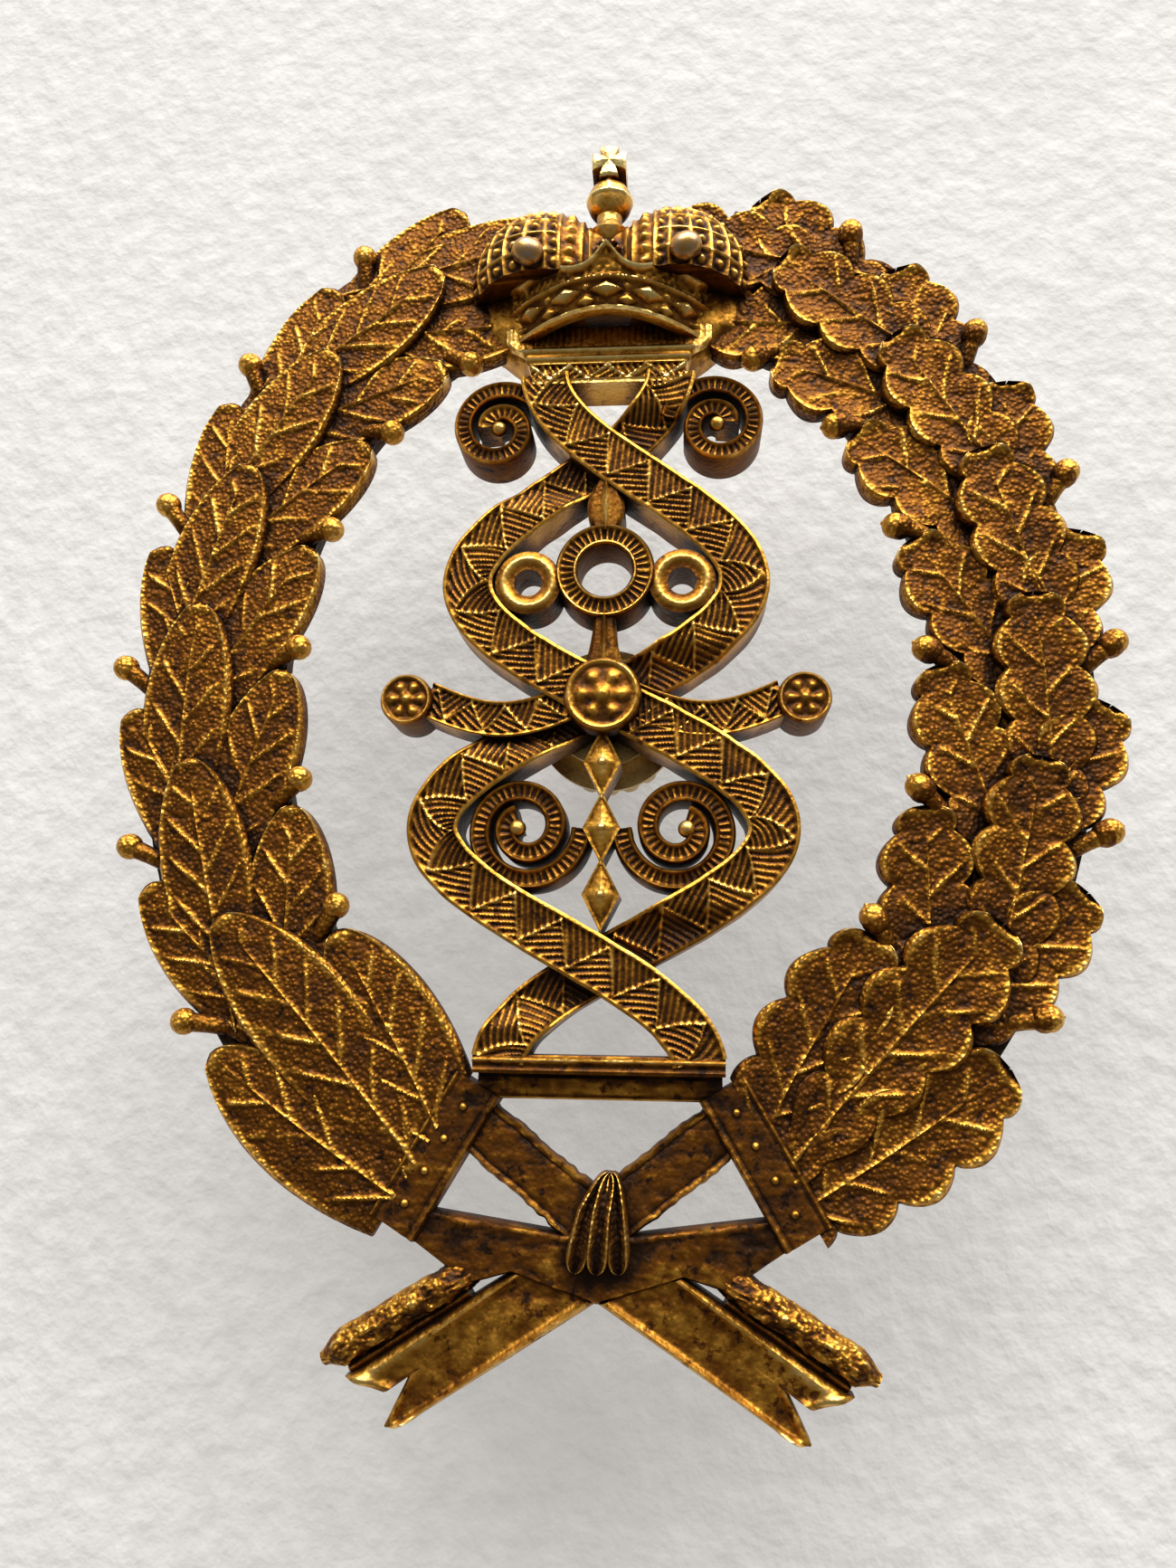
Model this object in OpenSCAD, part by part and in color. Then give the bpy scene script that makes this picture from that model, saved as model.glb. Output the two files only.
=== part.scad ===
// Openwork cap badge: laurel and oak wreath, crown, interlaced centre and a screw-post fixing.
// Upright, face towards -Y, +Z up.  The origin is on the screw post's axis at the badge's back face.

/* [Wreath] */
// Half width of the wreath, to the middle of its band
wreath_half_w = 17; // [16:0.1:18]
// Height of the band's middle above the widest level
wreath_rise = 20.2; // [19.5:0.1:21]
// Depth of the band's middle below the widest level
wreath_drop = 21; // [20.5:0.1:21.5]
// Height of the widest level above the post's axis
wreath_mid_z = 1.2; // [0.8:0.1:1.6]
// Half width of the plain band under the leaves
band_half_w = 3.1; // [2.8:0.1:3.2]
// Thickness of the plain band
band_t = 0.9; // [0.7:0.1:1.1]
// Thickness of each layer of leaves
leaf_t = 0.5; // [0.4:0.05:0.6]
// Number of leaf groups on each branch
leaf_groups = 7; // [5:1:7]
// Length of one leaf, with the part that the next leaf covers
leaf_len = 11.6; // [10:0.1:12]
// Width of one leaf
leaf_w = 3.9; // [3.4:0.1:4.1]
// Radius of a berry or an acorn
berry_r = 0.52; // [0.4:0.02:0.6]

/* [Crown] */
// Height of the crown's lower rim
crown_z = 16.4; // [16.2:0.1:16.6]
// Height of the circlet
circlet_h = 2.5; // [2.3:0.1:2.7]
// Radius of the circlet at its lower rim
circlet_r = 5.3; // [5.1:0.1:5.5]
// Radius of the circlet at its upper edge
circlet_top_r = 6; // [5.8:0.1:6.2]
// Distance of the circlet's axis behind the badge's back face
circlet_back = 1.7; // [1.6:0.1:1.8]
// Radius of one cap of the crown
cap_r = 3.5; // [3.3:0.1:3.6]
// Sideways distance of a cap's centre from the middle
cap_x = 2.9; // [2.8:0.1:3]
// Radius of the orb
orb_r = 1.05; // [0.95:0.05:1.15]
// Width of the cross on the orb
cross_w = 1.5; // [1.3:0.1:1.7]

/* [Centre ornament] */
// Thickness of the openwork
work_t = 2.2; // [2:0.1:2.4]
// Width of the two wide interlaced strands
strand_w = 2.1; // [1.9:0.1:2.2]
// Width of the narrow fluted scrolls
scroll_w = 0.85; // [0.7:0.05:0.9]
// Width of the curved side arms
arm_w = 1.5; // [1.3:0.1:1.6]
// Outer radius of the ring in the upper opening
ring_r = 2.1; // [2:0.05:2.2]
// Radius of the rosettes on the side arms
rosette_r = 1.1; // [1:0.05:1.2]
// Radius of the centre boss
boss_r = 1.6; // [1.4:0.1:1.8]
// Height between two crossings of the strands
crossing_pitch = 10.9; // [10.8:0.1:11]
// Widest reach of a strand from the middle
strand_reach = 6.9; // [6.6:0.1:7.1]
// Depth of the ledge's top below the post's axis
ledge_drop = 14.4; // [14.3:0.05:14.5]
// Width of the ledge
ledge_w = 9.8; // [9.4:0.1:10]
// Height of the ledge
ledge_h = 0.7; // [0.6:0.05:0.8]

/* [Lower frame] */
// Width of the straps that bind the branches
strap_w = 2.1; // [1.9:0.1:2.3]
// Thickness of the straps, the stems and the ribbon
frame_t = 1.1; // [1:0.1:1.3]
// Radius of the round stem ends
stem_r = 0.7; // [0.6:0.05:0.75]
// Length of the round stem ends
stem_len = 6; // [5:0.1:6.5]

/* [Screw fixing] */
// Radius of the screw post
post_r = 1.5; // [1.4:0.05:1.6]
// Length of the screw post behind the back face
post_len = 9.5; // [9:0.1:11]
// Radius of the plain pilot at the post's free end
pilot_r = 1.25; // [1.1:0.05:1.3]
// Length of the pilot
pilot_len = 1.1; // [0.8:0.1:1.5]
// Radius of the solder plate at the post's root
plate_r = 2.4; // [2.2:0.1:2.6]
// Thickness of the solder plate
plate_t = 0.6; // [0.5:0.1:0.8]
// Gap that the cap's cloth fills between the plate and the washer
cloth_gap = 1; // [0.8:0.1:1.4]
// Outer radius of the washer
washer_r = 3.2; // [3:0.1:3.6]
// Thickness of the washer
washer_t = 0.4; // [0.3:0.1:0.6]
// Outer radius of the nut
nut_r = 3; // [2.8:0.1:3.4]
// Thickness of the nut
nut_t = 2; // [1.8:0.1:2.4]
// Clearance between the post and what runs on it
run_gap = 0.05; // [0.03:0.01:0.08]

/* [Hidden] */
$fn = 64;

gilt = "goldenrod";
dark_gilt = "darkgoldenrod";
steel_gilt = "darkkhaki";

strap_t = -64.5;            // place of the straps along the wreath, in degrees
band_top_t = 70;            // upper end of the plain band, in degrees
band_steps = 36;            // straight facets along one edge of the band
group_pitch = 18.7;         // spacing of the leaf groups, in degrees
cap_z = crown_z + 3.2;      // height of the caps' centres
cap_y = -0.6;               // depth of the caps' centres
circlet_z = crown_z + circlet_h;
arch_half_w = 0.9;
shoulder_t = 1.3;           // thickness of the crown's sides under the caps
strand_steps = 56;
ring_z = crossing_pitch / 2 + 0.1;
chain_z = -crossing_pitch / 2;
strand_top = crown_z - 1.8; // height at which the strands leave the neck
side_t = band_t + leaf_t;   // height of the side leaves' faces
middle_t = side_t + leaf_t; // height of the middle leaves' faces
inner_leaf_t = -36.5;       // place of the first inner leaf's tip, in degrees
outer_leaf_t = -41;         // place of the first outer leaf's tip
middle_leaf_t = -28.5;      // place of the first middle leaf's tip
lobes = 5.5;                // lobes along each side of an oak leaf
root_size = [1.2, 1.15];    // length and width of the lowest leaves against the others
berry_pitch = 18.9;         // spacing of the berries, in degrees
outer_berry_d = 3.8;        // distance of the outer berries from the band's middle
inner_berry_d = -3.75;
arch_top = circlet_z + 2.7;
ringlet_x = 3.25;
ringlet_z = ring_z - 0.5;
ringlet_r = 1.4;
scroll_x = 3.15;            // sideways distance of an inner scroll's eye
neck_scroll_x = 4.75;
neck_scroll_z = 12.3;
scroll_t = work_t - 0.2;    // height of the scrolls' faces
rosette_x = 8.2;
rosette_z = -0.1;
arm_start = 1;
arm_end = 7.4;
arm_sag = 0.9;
washer_y = plate_t + cloth_gap;
nut_y = washer_y + washer_t;

// ---- helpers ----

// Raises a flat shape from one height in front of the back face to another.
module plate(from, to) {
    translate([0, -from, 0]) rotate([90, 0, 0]) linear_extrude(to - from) children();
}

// A point on the right-hand branch: t is the place along it, d the distance outwards.
function rim(t, d = 0) =
    let(b = t > 0 ? wreath_rise : wreath_drop,
        n = [b * cos(t), wreath_half_w * sin(t)])
    [wreath_half_w * cos(t), wreath_mid_z + b * sin(t)] + d * n / norm(n);

// The direction in which the branch grows at t.
function heading(t) =
    let(b = t > 0 ? wreath_rise : wreath_drop)
    atan2(b * cos(t), -wreath_half_w * sin(t));

function unit(a) = [cos(a), sin(a)];

// A strip of constant width along a list of points.
module strip(path, width) {
    last = len(path) - 1;
    side = [for (i = [0 : last])
        let(d = path[min(i + 1, last)] - path[max(i - 1, 0)])
        [-d.y, d.x] / norm(d) * width / 2];
    polygon(concat(
        [for (i = [0 : last]) path[i] + side[i]],
        [for (i = [last : -1 : 0]) path[i] - side[i]]));
}

// Places a leaf, a berry or an acorn on the right-hand branch, turned away from its heading.
module on_rim(t, d, turn = 0) {
    translate(rim(t, d)) rotate(heading(t) + turn) children();
}

module left_side() { mirror([1, 0, 0]) children(); }

// ---- wreath ----

// A leaf with its tip at the origin, from a list of half widths evenly spaced along it.
module leaf_plan(half) {
    steps = len(half) - 1;
    side = [for (i = [0 : steps]) [-leaf_len * i / steps, leaf_w / 2 * half[i]]];
    polygon(concat(side, [for (i = [steps - 1 : -1 : 1]) [side[i].x, -side[i].y]]));
}

// A blunt oval.
module laurel_leaf() {
    steps = 24;
    leaf_plan([for (i = [0 : steps]) pow(sin(180 * pow(i / steps, 0.78)), 0.7)]);
}

// A leaf with rounded lobes.
module oak_leaf() {
    steps = 33;
    leaf_plan([for (i = [0 : steps])
        let(s = i / steps)
        pow(sin(180 * pow(s, 0.62)), 0.6) * (0.74 + 0.31 * pow(abs(cos(180 * lobes * s)), 0.7))]);
}

// The lowest leaves are larger, so that they fill the branch down to its strap.
module side_leaf_places() {
    on_rim(inner_leaf_t, -3.3, 2) scale(root_size) children();
    on_rim(outer_leaf_t, 3.5, -22) scale(root_size) children();
    for (k = [1 : leaf_groups - 1]) {
        on_rim(inner_leaf_t + group_pitch * k, -3.3, 17) children();
        on_rim(outer_leaf_t + group_pitch * k, 3.5, -29) children();
    }
}

module middle_leaf_places() {
    on_rim(middle_leaf_t, 0.8, -18) scale(root_size) children();
    for (k = [1 : leaf_groups - 1]) on_rim(middle_leaf_t + group_pitch * k, 0.8, -6) children();
}

// The sloping sides under the caps, from the neck outwards.
module shoulder_plan() {
    for (s = [-1, 1]) polygon([
        [s * 3.5, 15.2], [s * 4.4, 15.9], [s * 5.2, 16.6], [s * 6.1, 17.3], [s * 6.3, circlet_z],
        [s * 4, circlet_z], [s * 3.5, crown_z]]);
}

module crown_plan() {
    for (s = [-1, 1]) translate([s * cap_x, cap_z]) circle(cap_r);
    polygon([[-4.6, 14.6], [4.6, 14.6], [5.75, circlet_z], [-5.75, circlet_z]]);
    shoulder_plan();
    translate([-arch_half_w, circlet_z]) square([2 * arch_half_w, 3.4]);
}

// Keeps a branch's pieces clear of the strap below and the crown above.
module branch_area() {
    difference() {
        children();
        crown_plan();
        polygon([rim(strap_t, 6), rim(strap_t, -6), [-4, -14], [-4, -24], [8, -26]]);
    }
}

module branch_band() {
    ts = [for (i = [0 : band_steps]) strap_t + (band_top_t - strap_t) * i / band_steps];
    plate(0, band_t) branch_area() polygon(concat(
        [for (t = ts) rim(t, band_half_w)],
        [for (i = [band_steps : -1 : 0]) rim(ts[i], -band_half_w)]));
}

// A ball on a short stalk that roots in the band's edge.
module berries(first_out, first_in) {
    for (side = [[first_out, outer_berry_d], [first_in, inner_berry_d]]) for (k = [0 : 5]) {
        t = side[0] + berry_pitch * k;
        ball = rim(t, side[1]);
        root = rim(t - 3, side[1] * 0.6);
        reach = ball - root;
        translate([ball.x, -side_t, ball.y]) sphere(berry_r);
        translate([root.x, -side_t, root.y]) rotate([0, atan2(reach.x, reach.y), 0])
            cylinder(h = norm(reach), r = berry_r * 0.5);
    }
}

module laurel_band() { color(dark_gilt) left_side() branch_band(); }

module laurel_side_leaves() {
    color(gilt) left_side() plate(band_t, side_t) branch_area() side_leaf_places() laurel_leaf();
}

module laurel_middle_leaves() {
    color(gilt) left_side()
        plate(side_t, middle_t) branch_area() middle_leaf_places() laurel_leaf();
}

module laurel_berries() { color(gilt) left_side() berries(-36.8, -33.5); }

module oak_band() { color(dark_gilt) branch_band(); }

module oak_side_leaves() {
    color(gilt) plate(band_t, side_t) branch_area() side_leaf_places() oak_leaf();
}

module oak_middle_leaves() {
    color(gilt) plate(side_t, middle_t) branch_area() middle_leaf_places() oak_leaf();
}

module oak_acorns() { color(gilt) berries(-34.9, -34.5); }

// ---- crown ----

// Everything in front of the badge's back face.
module front_half() {
    intersection() {
        children();
        translate([-30, -12, -40]) cube([60, 12, 80]);
    }
}

module circlet_body() {
    front_half() translate([0, circlet_back, crown_z])
        cylinder(h = circlet_h, r1 = circlet_r, r2 = circlet_top_r, $fn = 96);
}

module crown_circlet() { color(gilt) circlet_body(); }

module cap_ball(s) { translate([s * cap_x, cap_y, cap_z]) sphere(cap_r, $fn = 96); }

module crown_cap(s) {
    color(gilt) intersection() {
        cap_ball(s);
        translate([s > 0 ? arch_half_w : -arch_half_w - 9, -9, circlet_z]) cube([9, 9, 9]);
    }
}

module crown_cap_left() { crown_cap(-1); }

module crown_cap_right() { crown_cap(1); }

module crown_arch() {
    color(gilt) plate(0, 3)
        translate([-arch_half_w, circlet_z]) square([2 * arch_half_w, arch_top - circlet_z]);
}

module crown_cabochons() {
    color(steel_gilt) difference() {
        for (s = [-1, 1]) translate([s * 3.4, -3.95, cap_z - 0.2]) sphere(0.6);
        for (s = [-1, 1]) cap_ball(s);
    }
}

module crown_orb() {
    color(gilt) translate([0, -work_t, arch_top]) {
        cylinder(h = 0.6, r = 0.6);
        translate([0, 0, 0.4 + orb_r]) sphere(orb_r);
    }
}

// A cross with four flared arms, standing on the orb.
module crown_cross() {
    half = cross_w / 2;
    foot_z = arch_top + 2 * orb_r + 0.1;
    color(gilt) translate([0, 0, foot_z + half]) plate(work_t - 1, work_t + 1)
        for (a = [0 : 90 : 270]) rotate(a)
            polygon([[-0.16, 0], [0.16, 0], [0.42, half], [-0.42, half]]);
}

// The flared neck that joins the crown to the ornament, with the shoulders that run up to the caps.
module crown_neck() {
    color(gilt) {
        plate(0, work_t) polygon([
            [-3.4, strand_top], [3.4, strand_top],
            [3.6, 15.4], [4.5, crown_z], [-4.5, crown_z], [-3.6, 15.4]]);
        difference() {
            plate(0, shoulder_t) shoulder_plan();
            circlet_body();
        }
    }
}

// ---- centre ornament ----

// Reach of a strand at height z: widest in the lower lobe.
function reach(z) =
    let(u = z + crossing_pitch / 2)
    strand_reach - u * u * (u > 0 ? 0.0093 : 0.029);

function strand_x(z) = reach(z) * sin(180 * z / crossing_pitch);

// The path runs past both ends, which are then cut level with the neck and the ledge.
function strand_path(s) = [for (i = [-2 : strand_steps + 2])
    let(z = strand_top - (strand_top + ledge_drop) * i / strand_steps)
    [s * strand_x(z), z]];

module strand_plan(s) {
    intersection() {
        strip(strand_path(s), strand_w);
        translate([-9, -ledge_drop]) square([18, ledge_drop + strand_top]);
    }
}

module strands_plan() { for (s = [-1, 1]) strand_plan(s); }

// The crossings at which the right-hand strand (s = 1) or the left-hand one lies in front.
module crossing_area(s) {
    for (k = s > 0 ? [-1, 1] : [0]) translate([-3, k * crossing_pitch - 3]) square(6);
}

// Half-lapped strand: full thickness but for the front half or the back half at each crossing.
module strand(s) {
    color(gilt) {
        plate(0, work_t / 2) difference() {
            strand_plan(s);
            intersection() { strand_plan(-s); crossing_area(s); }
        }
        plate(work_t / 2, work_t) difference() {
            strand_plan(s);
            intersection() { strand_plan(-s); crossing_area(-s); }
        }
    }
}

module strand_left() { strand(-1); }

module strand_right() { strand(1); }

module clear_of_strands() {
    difference() {
        children();
        strands_plan();
    }
}

// A spiral band that narrows to its eye, from an outer radius over a number of degrees.
function volute(centre, outer, inner, start, sweep, steps) = [for (i = [0 : steps])
    let(f = i / steps)
    centre + (outer + (inner - outer) * f) * unit(start + sweep * f)];

// A ring with a bud above, a foot below and a small ringlet on each side, in the upper opening.
module ring_plan() {
    difference() {
        union() {
            translate([0, ring_z]) circle(ring_r);
            polygon([[-0.45, ring_z + 1.8], [-0.75, ring_z + 3], [0, ring_z + 4.6],
                [0.75, ring_z + 3], [0.45, ring_z + 1.8]]);
            polygon([[-1.1, 0.6], [-0.45, ring_z - 1.8], [0.45, ring_z - 1.8], [1.1, 0.6]]);
            for (s = [-1, 1]) translate([s * ringlet_x, ringlet_z]) circle(ringlet_r);
        }
        translate([0, ring_z]) circle(ring_r * 0.55);
        for (s = [-1, 1]) translate([s * ringlet_x, ringlet_z]) circle(ringlet_r * 0.43);
    }
}

module ring_finial() { color(gilt) plate(0, work_t) clear_of_strands() ring_plan(); }

module chain_plan() {
    for (k = [-1 : 1]) translate([0, chain_z + 2.7 * k])
        polygon([[0, 1.5], [0.75, 0], [0, -1.5], [-0.75, 0]]);
}

module inner_scroll(s) {
    color(gilt) plate(0, scroll_t) difference() {
        clear_of_strands() mirror([s > 0 ? 0 : 1, 0])
            strip(volute([scroll_x, chain_z], 2.35, 0.55, 180, 600, 60), scroll_w);
        chain_plan();
    }
}

module inner_scroll_left() { inner_scroll(-1); }

module inner_scroll_right() { inner_scroll(1); }

module lozenge_chain() { color(gilt) plate(0, work_t - 0.1) clear_of_strands() chain_plan(); }

// A curved arm from the middle crossing out to a rosette.
function arm_path(s) = [for (i = [0 : 20])
    let(f = i / 20)
    [s * (arm_start + (arm_end - arm_start) * f), -arm_sag * sin(180 * f)]];

module rosette_plan(s) { translate([s * rosette_x, rosette_z]) circle(rosette_r); }

module side_arm(s) {
    color(gilt) plate(0, work_t - 0.1) difference() {
        clear_of_strands() strip(arm_path(s), arm_w);
        rosette_plan(s);
        circle(1.2);
    }
}

module side_arm_left() { side_arm(-1); }

module side_arm_right() { side_arm(1); }

module rosette_discs() { color(gilt) plate(0, work_t + 0.2) for (s = [-1, 1]) rosette_plan(s); }

// Volutes outside the strands, under the neck.
module neck_scrolls() {
    color(gilt) plate(0, scroll_t) clear_of_strands() for (s = [0, 1]) mirror([s, 0])
        strip(volute([neck_scroll_x, neck_scroll_z], 2.1, 0.5, 170, -520, 50), scroll_w);
}

module centre_boss() { color(gilt) plate(work_t, work_t + 0.6) circle(boss_r); }

module ledge() {
    color(gilt) plate(0, work_t + 0.1)
        translate([-ledge_w / 2, -ledge_drop - ledge_h]) square([ledge_w, ledge_h]);
}

// ---- lower frame ----

strap_out = rim(strap_t, 3.15);
strap_in = rim(strap_t, -3.15);
strap_step = -strap_w * unit(heading(strap_t));

module strap_plan() {
    polygon([strap_out, strap_in, strap_in + strap_step, strap_out + strap_step]);
}

module both_straps() {
    strap_plan();
    mirror([1, 0]) strap_plan();
}

module crossbar() {
    foot = strap_in + strap_step;
    top = -ledge_drop - ledge_h;
    color(dark_gilt) plate(0, frame_t) difference() {
        polygon([[-strap_in.x, top], [strap_in.x, top], foot, [-foot.x, foot.y]]);
        both_straps();
    }
}

module strap_right() { color(gilt) plate(0, frame_t + 0.2) strap_plan(); }

module strap_left() { left_side() strap_right(); }

// Two flat stems that lean together under the knot.
module stems_plan() {
    difference() {
        for (s = [-1, 1]) strip([[s * 5.7, -16.45], [s * 0.3, -20.6]], 2.2);
        both_straps();
        translate([-9, -16.2]) square([18, 3]);
        translate([-2, -23]) square([4, 2]);
    }
}

module crossed_stems() { color(dark_gilt) plate(0, frame_t) stems_plan(); }

module ribbon_band_plan() {
    half = [[6.7, -20.35], [1.3, -21.1], [0, -20.9]];
    low = [[0, -23.6], [3.3, -22.55], [4.9, -23.3], [5.7, -22.3], [7.2, -21.45]];
    difference() {
        for (s = [-1, 1]) polygon([for (p = concat(half, low)) [s * p.x, p.y]]);
        both_straps();
        stems_plan();
    }
}

module ribbon_band() { color(dark_gilt) plate(0, frame_t) ribbon_band_plan(); }

// Three finger-like folds side by side.
module ribbon_knot() {
    color(gilt) plate(frame_t, frame_t + 1.1) for (s = [-1, 0, 1])
        strip([[0.5 + s * 0.1, -18.75], [0.2 + s * 0.55, -20.2], [s * 0.85, -22.3]], 0.85);
}

// A forked ribbon end that runs out and down from the knot.
module tail_plan() {
    polygon([
        [0.05, -23.6], [3.3, -22.55], [9.6, -26.5], [8, -27], [7.1, -26.35], [8, -28.2], [7.2, -28.1]]);
}

module ribbon_tail_right() { color(gilt) plate(0, frame_t) tail_plan(); }

module ribbon_tail_left() { left_side() ribbon_tail_right(); }

// A round stem end with a blunt tip.
module stem_end_right() {
    color(dark_gilt) translate([5.35, -stem_r, -22.85]) rotate([0, 121, 0]) {
        cylinder(h = stem_len - 0.8, r = stem_r);
        translate([0, 0, stem_len - 0.8]) cylinder(h = 0.8, r1 = stem_r, r2 = 0.25);
    }
}

module stem_end_left() { left_side() stem_end_right(); }

// ---- screw fixing ----

// Lays a turned piece along +Y from a depth behind the back face.
module behind(y) { translate([0, y, 0]) rotate([-90, 0, 0]) children(); }

module post_plate() {
    color(dark_gilt) behind(0) difference() {
        cylinder(h = plate_t, r = plate_r);
        translate([0, 0, -1]) cylinder(h = plate_t + 2, r = post_r);
    }
}

module screw_post() {
    color(steel_gilt) behind(0) {
        cylinder(h = post_len - pilot_len, r = post_r);
        cylinder(h = post_len, r = pilot_r);
    }
}

module bored(height, outer) {
    difference() {
        cylinder(h = height, r = outer);
        translate([0, 0, -1]) cylinder(h = height + 2, r = post_r + run_gap);
    }
}

module washer() { color(steel_gilt) behind(washer_y) bored(washer_t, washer_r); }

module nut() {
    notches = 18;
    color(steel_gilt) behind(nut_y) difference() {
        bored(nut_t, nut_r);
        for (i = [0 : notches - 1]) rotate(360 * i / notches) translate([nut_r + 0.1, 0, -1])
            cylinder(h = nut_t + 2, r = 0.3, $fn = 16);
    }
}

laurel_band();
laurel_side_leaves();
laurel_middle_leaves();
laurel_berries();
oak_band();
oak_side_leaves();
oak_middle_leaves();
oak_acorns();
crown_circlet();
crown_cap_left();
crown_cap_right();
crown_arch();
crown_cabochons();
crown_orb();
crown_cross();
crown_neck();
strand_left();
strand_right();
ring_finial();
inner_scroll_left();
inner_scroll_right();
lozenge_chain();
side_arm_left();
side_arm_right();
rosette_discs();
neck_scrolls();
centre_boss();
ledge();
crossbar();
strap_left();
strap_right();
crossed_stems();
ribbon_band();
ribbon_knot();
ribbon_tail_left();
ribbon_tail_right();
stem_end_left();
stem_end_right();
post_plate();
screw_post();
washer();
nut();
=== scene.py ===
"""Looks of the openwork cap badge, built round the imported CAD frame.

Shapes are worked out in millimetres in the badge's plan, x to the viewer's right and z up.  A height h
stands that far in front of the back face, at y = -h.
"""

import math

import bmesh
import bpy
import numpy as np
from mathutils import Matrix, Vector


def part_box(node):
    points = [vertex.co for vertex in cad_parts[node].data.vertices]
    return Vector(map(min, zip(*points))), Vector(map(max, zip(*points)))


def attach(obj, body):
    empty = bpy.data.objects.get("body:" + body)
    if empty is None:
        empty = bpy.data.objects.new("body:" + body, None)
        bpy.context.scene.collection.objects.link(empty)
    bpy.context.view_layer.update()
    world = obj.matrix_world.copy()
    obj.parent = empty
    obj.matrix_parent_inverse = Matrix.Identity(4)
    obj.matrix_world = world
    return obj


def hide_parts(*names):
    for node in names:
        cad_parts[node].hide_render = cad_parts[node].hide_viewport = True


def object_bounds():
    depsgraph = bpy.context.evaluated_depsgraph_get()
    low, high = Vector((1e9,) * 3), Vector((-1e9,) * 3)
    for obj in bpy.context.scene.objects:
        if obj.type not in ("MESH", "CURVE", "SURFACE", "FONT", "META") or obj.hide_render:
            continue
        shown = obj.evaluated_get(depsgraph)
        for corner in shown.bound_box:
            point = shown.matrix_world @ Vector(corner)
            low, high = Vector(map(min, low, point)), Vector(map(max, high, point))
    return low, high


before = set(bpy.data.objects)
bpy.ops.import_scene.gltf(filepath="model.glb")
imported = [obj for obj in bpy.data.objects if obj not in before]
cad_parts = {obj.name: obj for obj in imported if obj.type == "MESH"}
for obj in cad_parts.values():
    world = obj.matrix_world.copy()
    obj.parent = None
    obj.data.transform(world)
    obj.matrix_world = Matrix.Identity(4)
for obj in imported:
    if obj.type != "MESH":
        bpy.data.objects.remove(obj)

cad_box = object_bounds()

MM = 0.001


def low(node):
    """Lowest corner of a CAD node, in millimetres."""
    return np.array(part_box(node)[0]) / MM


def high(node):
    """Highest corner of a CAD node, in millimetres."""
    return np.array(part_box(node)[1]) / MM


# ---- driving dimensions: the CAD part's own, in millimetres, and heights read from its nodes ----

# The oval that each branch follows: half width, rise and drop from its widest level
HALF_W, RISE, DROP, MID_Z = 17.0, 20.2, 21.0, 1.2
# Places along a branch, in degrees: its strap, the end of its band, and the pitches along it
STRAP_T, BAND_END_T = -64.5, 74.0
GROUP_PITCH, FRUIT_PITCH = 18.7, 18.9
# The lowest leaf of each row: its tip's place along the branch and its distance outwards
INNER_ROW, MIDDLE_ROW, OUTER_ROW = (-36.5, -3.3), (-28.5, 0.8), (-41, 3.5)
BAND_HALF = 3.1
LEAF_GROUPS = 7
LEAF_LEN, LEAF_W = 11.6, 3.9
# Lobes of an oak leaf, and how much longer and wider the leaves next to the strap are
LOBES = 5.5
ROOT_SIZE = (1.2, 1.15)
FRUITS = 6
FRUIT_OUT, FRUIT_IN, BERRY_R = 3.8, -3.75, 0.55

# Interlaced strands: distance between crossings, width, and reach from the centre line
CROSSING, STRAND_W, REACH = 10.9, 2.1, 6.9
ARM_HALF, ARM_END = 0.75, 7.4
# Width of the straps, and how far they reach to each side of the branch's middle
STRAP_W, STRAP_REACH = 2.1, 3.15

# Crown: centre and radius of a cap, axis and radii of the circlet, and the pitch of its lozenges
CAP_X, CAP_Y, CAP_R = 2.9, -0.6, 3.5
CIRCLET_BACK, CIRCLET_R, CIRCLET_TOP_R = 1.7, 5.3, 6.0
FRIEZE_PITCH = 1.9
NECK_LOW, NECK_TOP = 14.3, 17.1

# Overlapping solids end at slightly different depths, so that no two backs share a plane
BACK_STEP = 0.02
# Spacing of the grid on faces that carry fine work
FINE = 0.07

BAND_TOP = -low("oak_band")[1]
SIDE_TOP = -low("oak_side_leaves")[1]
MIDDLE_TOP = -low("oak_middle_leaves")[1]
WORK_TOP = -low("strand_left")[1]
FRAME_TOP = -low("crossbar")[1]
STRAP_TOP = -low("strap_left")[1]
KNOT_TOP = -low("ribbon_knot")[1]
BOSS_TOP = -low("centre_boss")[1]
CROWN_Z = low("crown_circlet")[2]
CIRCLET_Z = high("crown_circlet")[2]
CAP_Z = CROWN_Z + 3.2
LEDGE_TOP = high("ledge")[2]
LEDGE_LOW = low("ledge")[2]
POST_R, POST_END = high("screw_post")[:2]
PLATE_R, PLATE_T = high("post_plate")[:2]
BORE_R = POST_R + 0.05

SIDES = ((-1, "left"), (1, "right"))


# ---- small mathematics ----

def unit(degrees):
    a = np.radians(degrees)
    return np.array([np.cos(a), np.sin(a)])


def normalised(vectors):
    return vectors / np.linalg.norm(vectors, axis=-1, keepdims=True)


def full_turn(count):
    """Evenly spaced angles around a circle."""
    return np.linspace(0, 2 * np.pi, count, endpoint=False)


def smooth(value, start, end):
    """0 before start, 1 after end, and an even slope between."""
    f = np.clip((value - start) / (end - start), 0, 1)
    return f * f * (3 - 2 * f)


def bump(distance, width):
    """A rounded ridge: 1 on its line, and almost nothing two widths away."""
    return np.exp(-(distance / width) ** 2)


def wrap(value, period):
    """Signed distance to the nearest multiple of the period."""
    return value - np.round(value / period) * period


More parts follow.
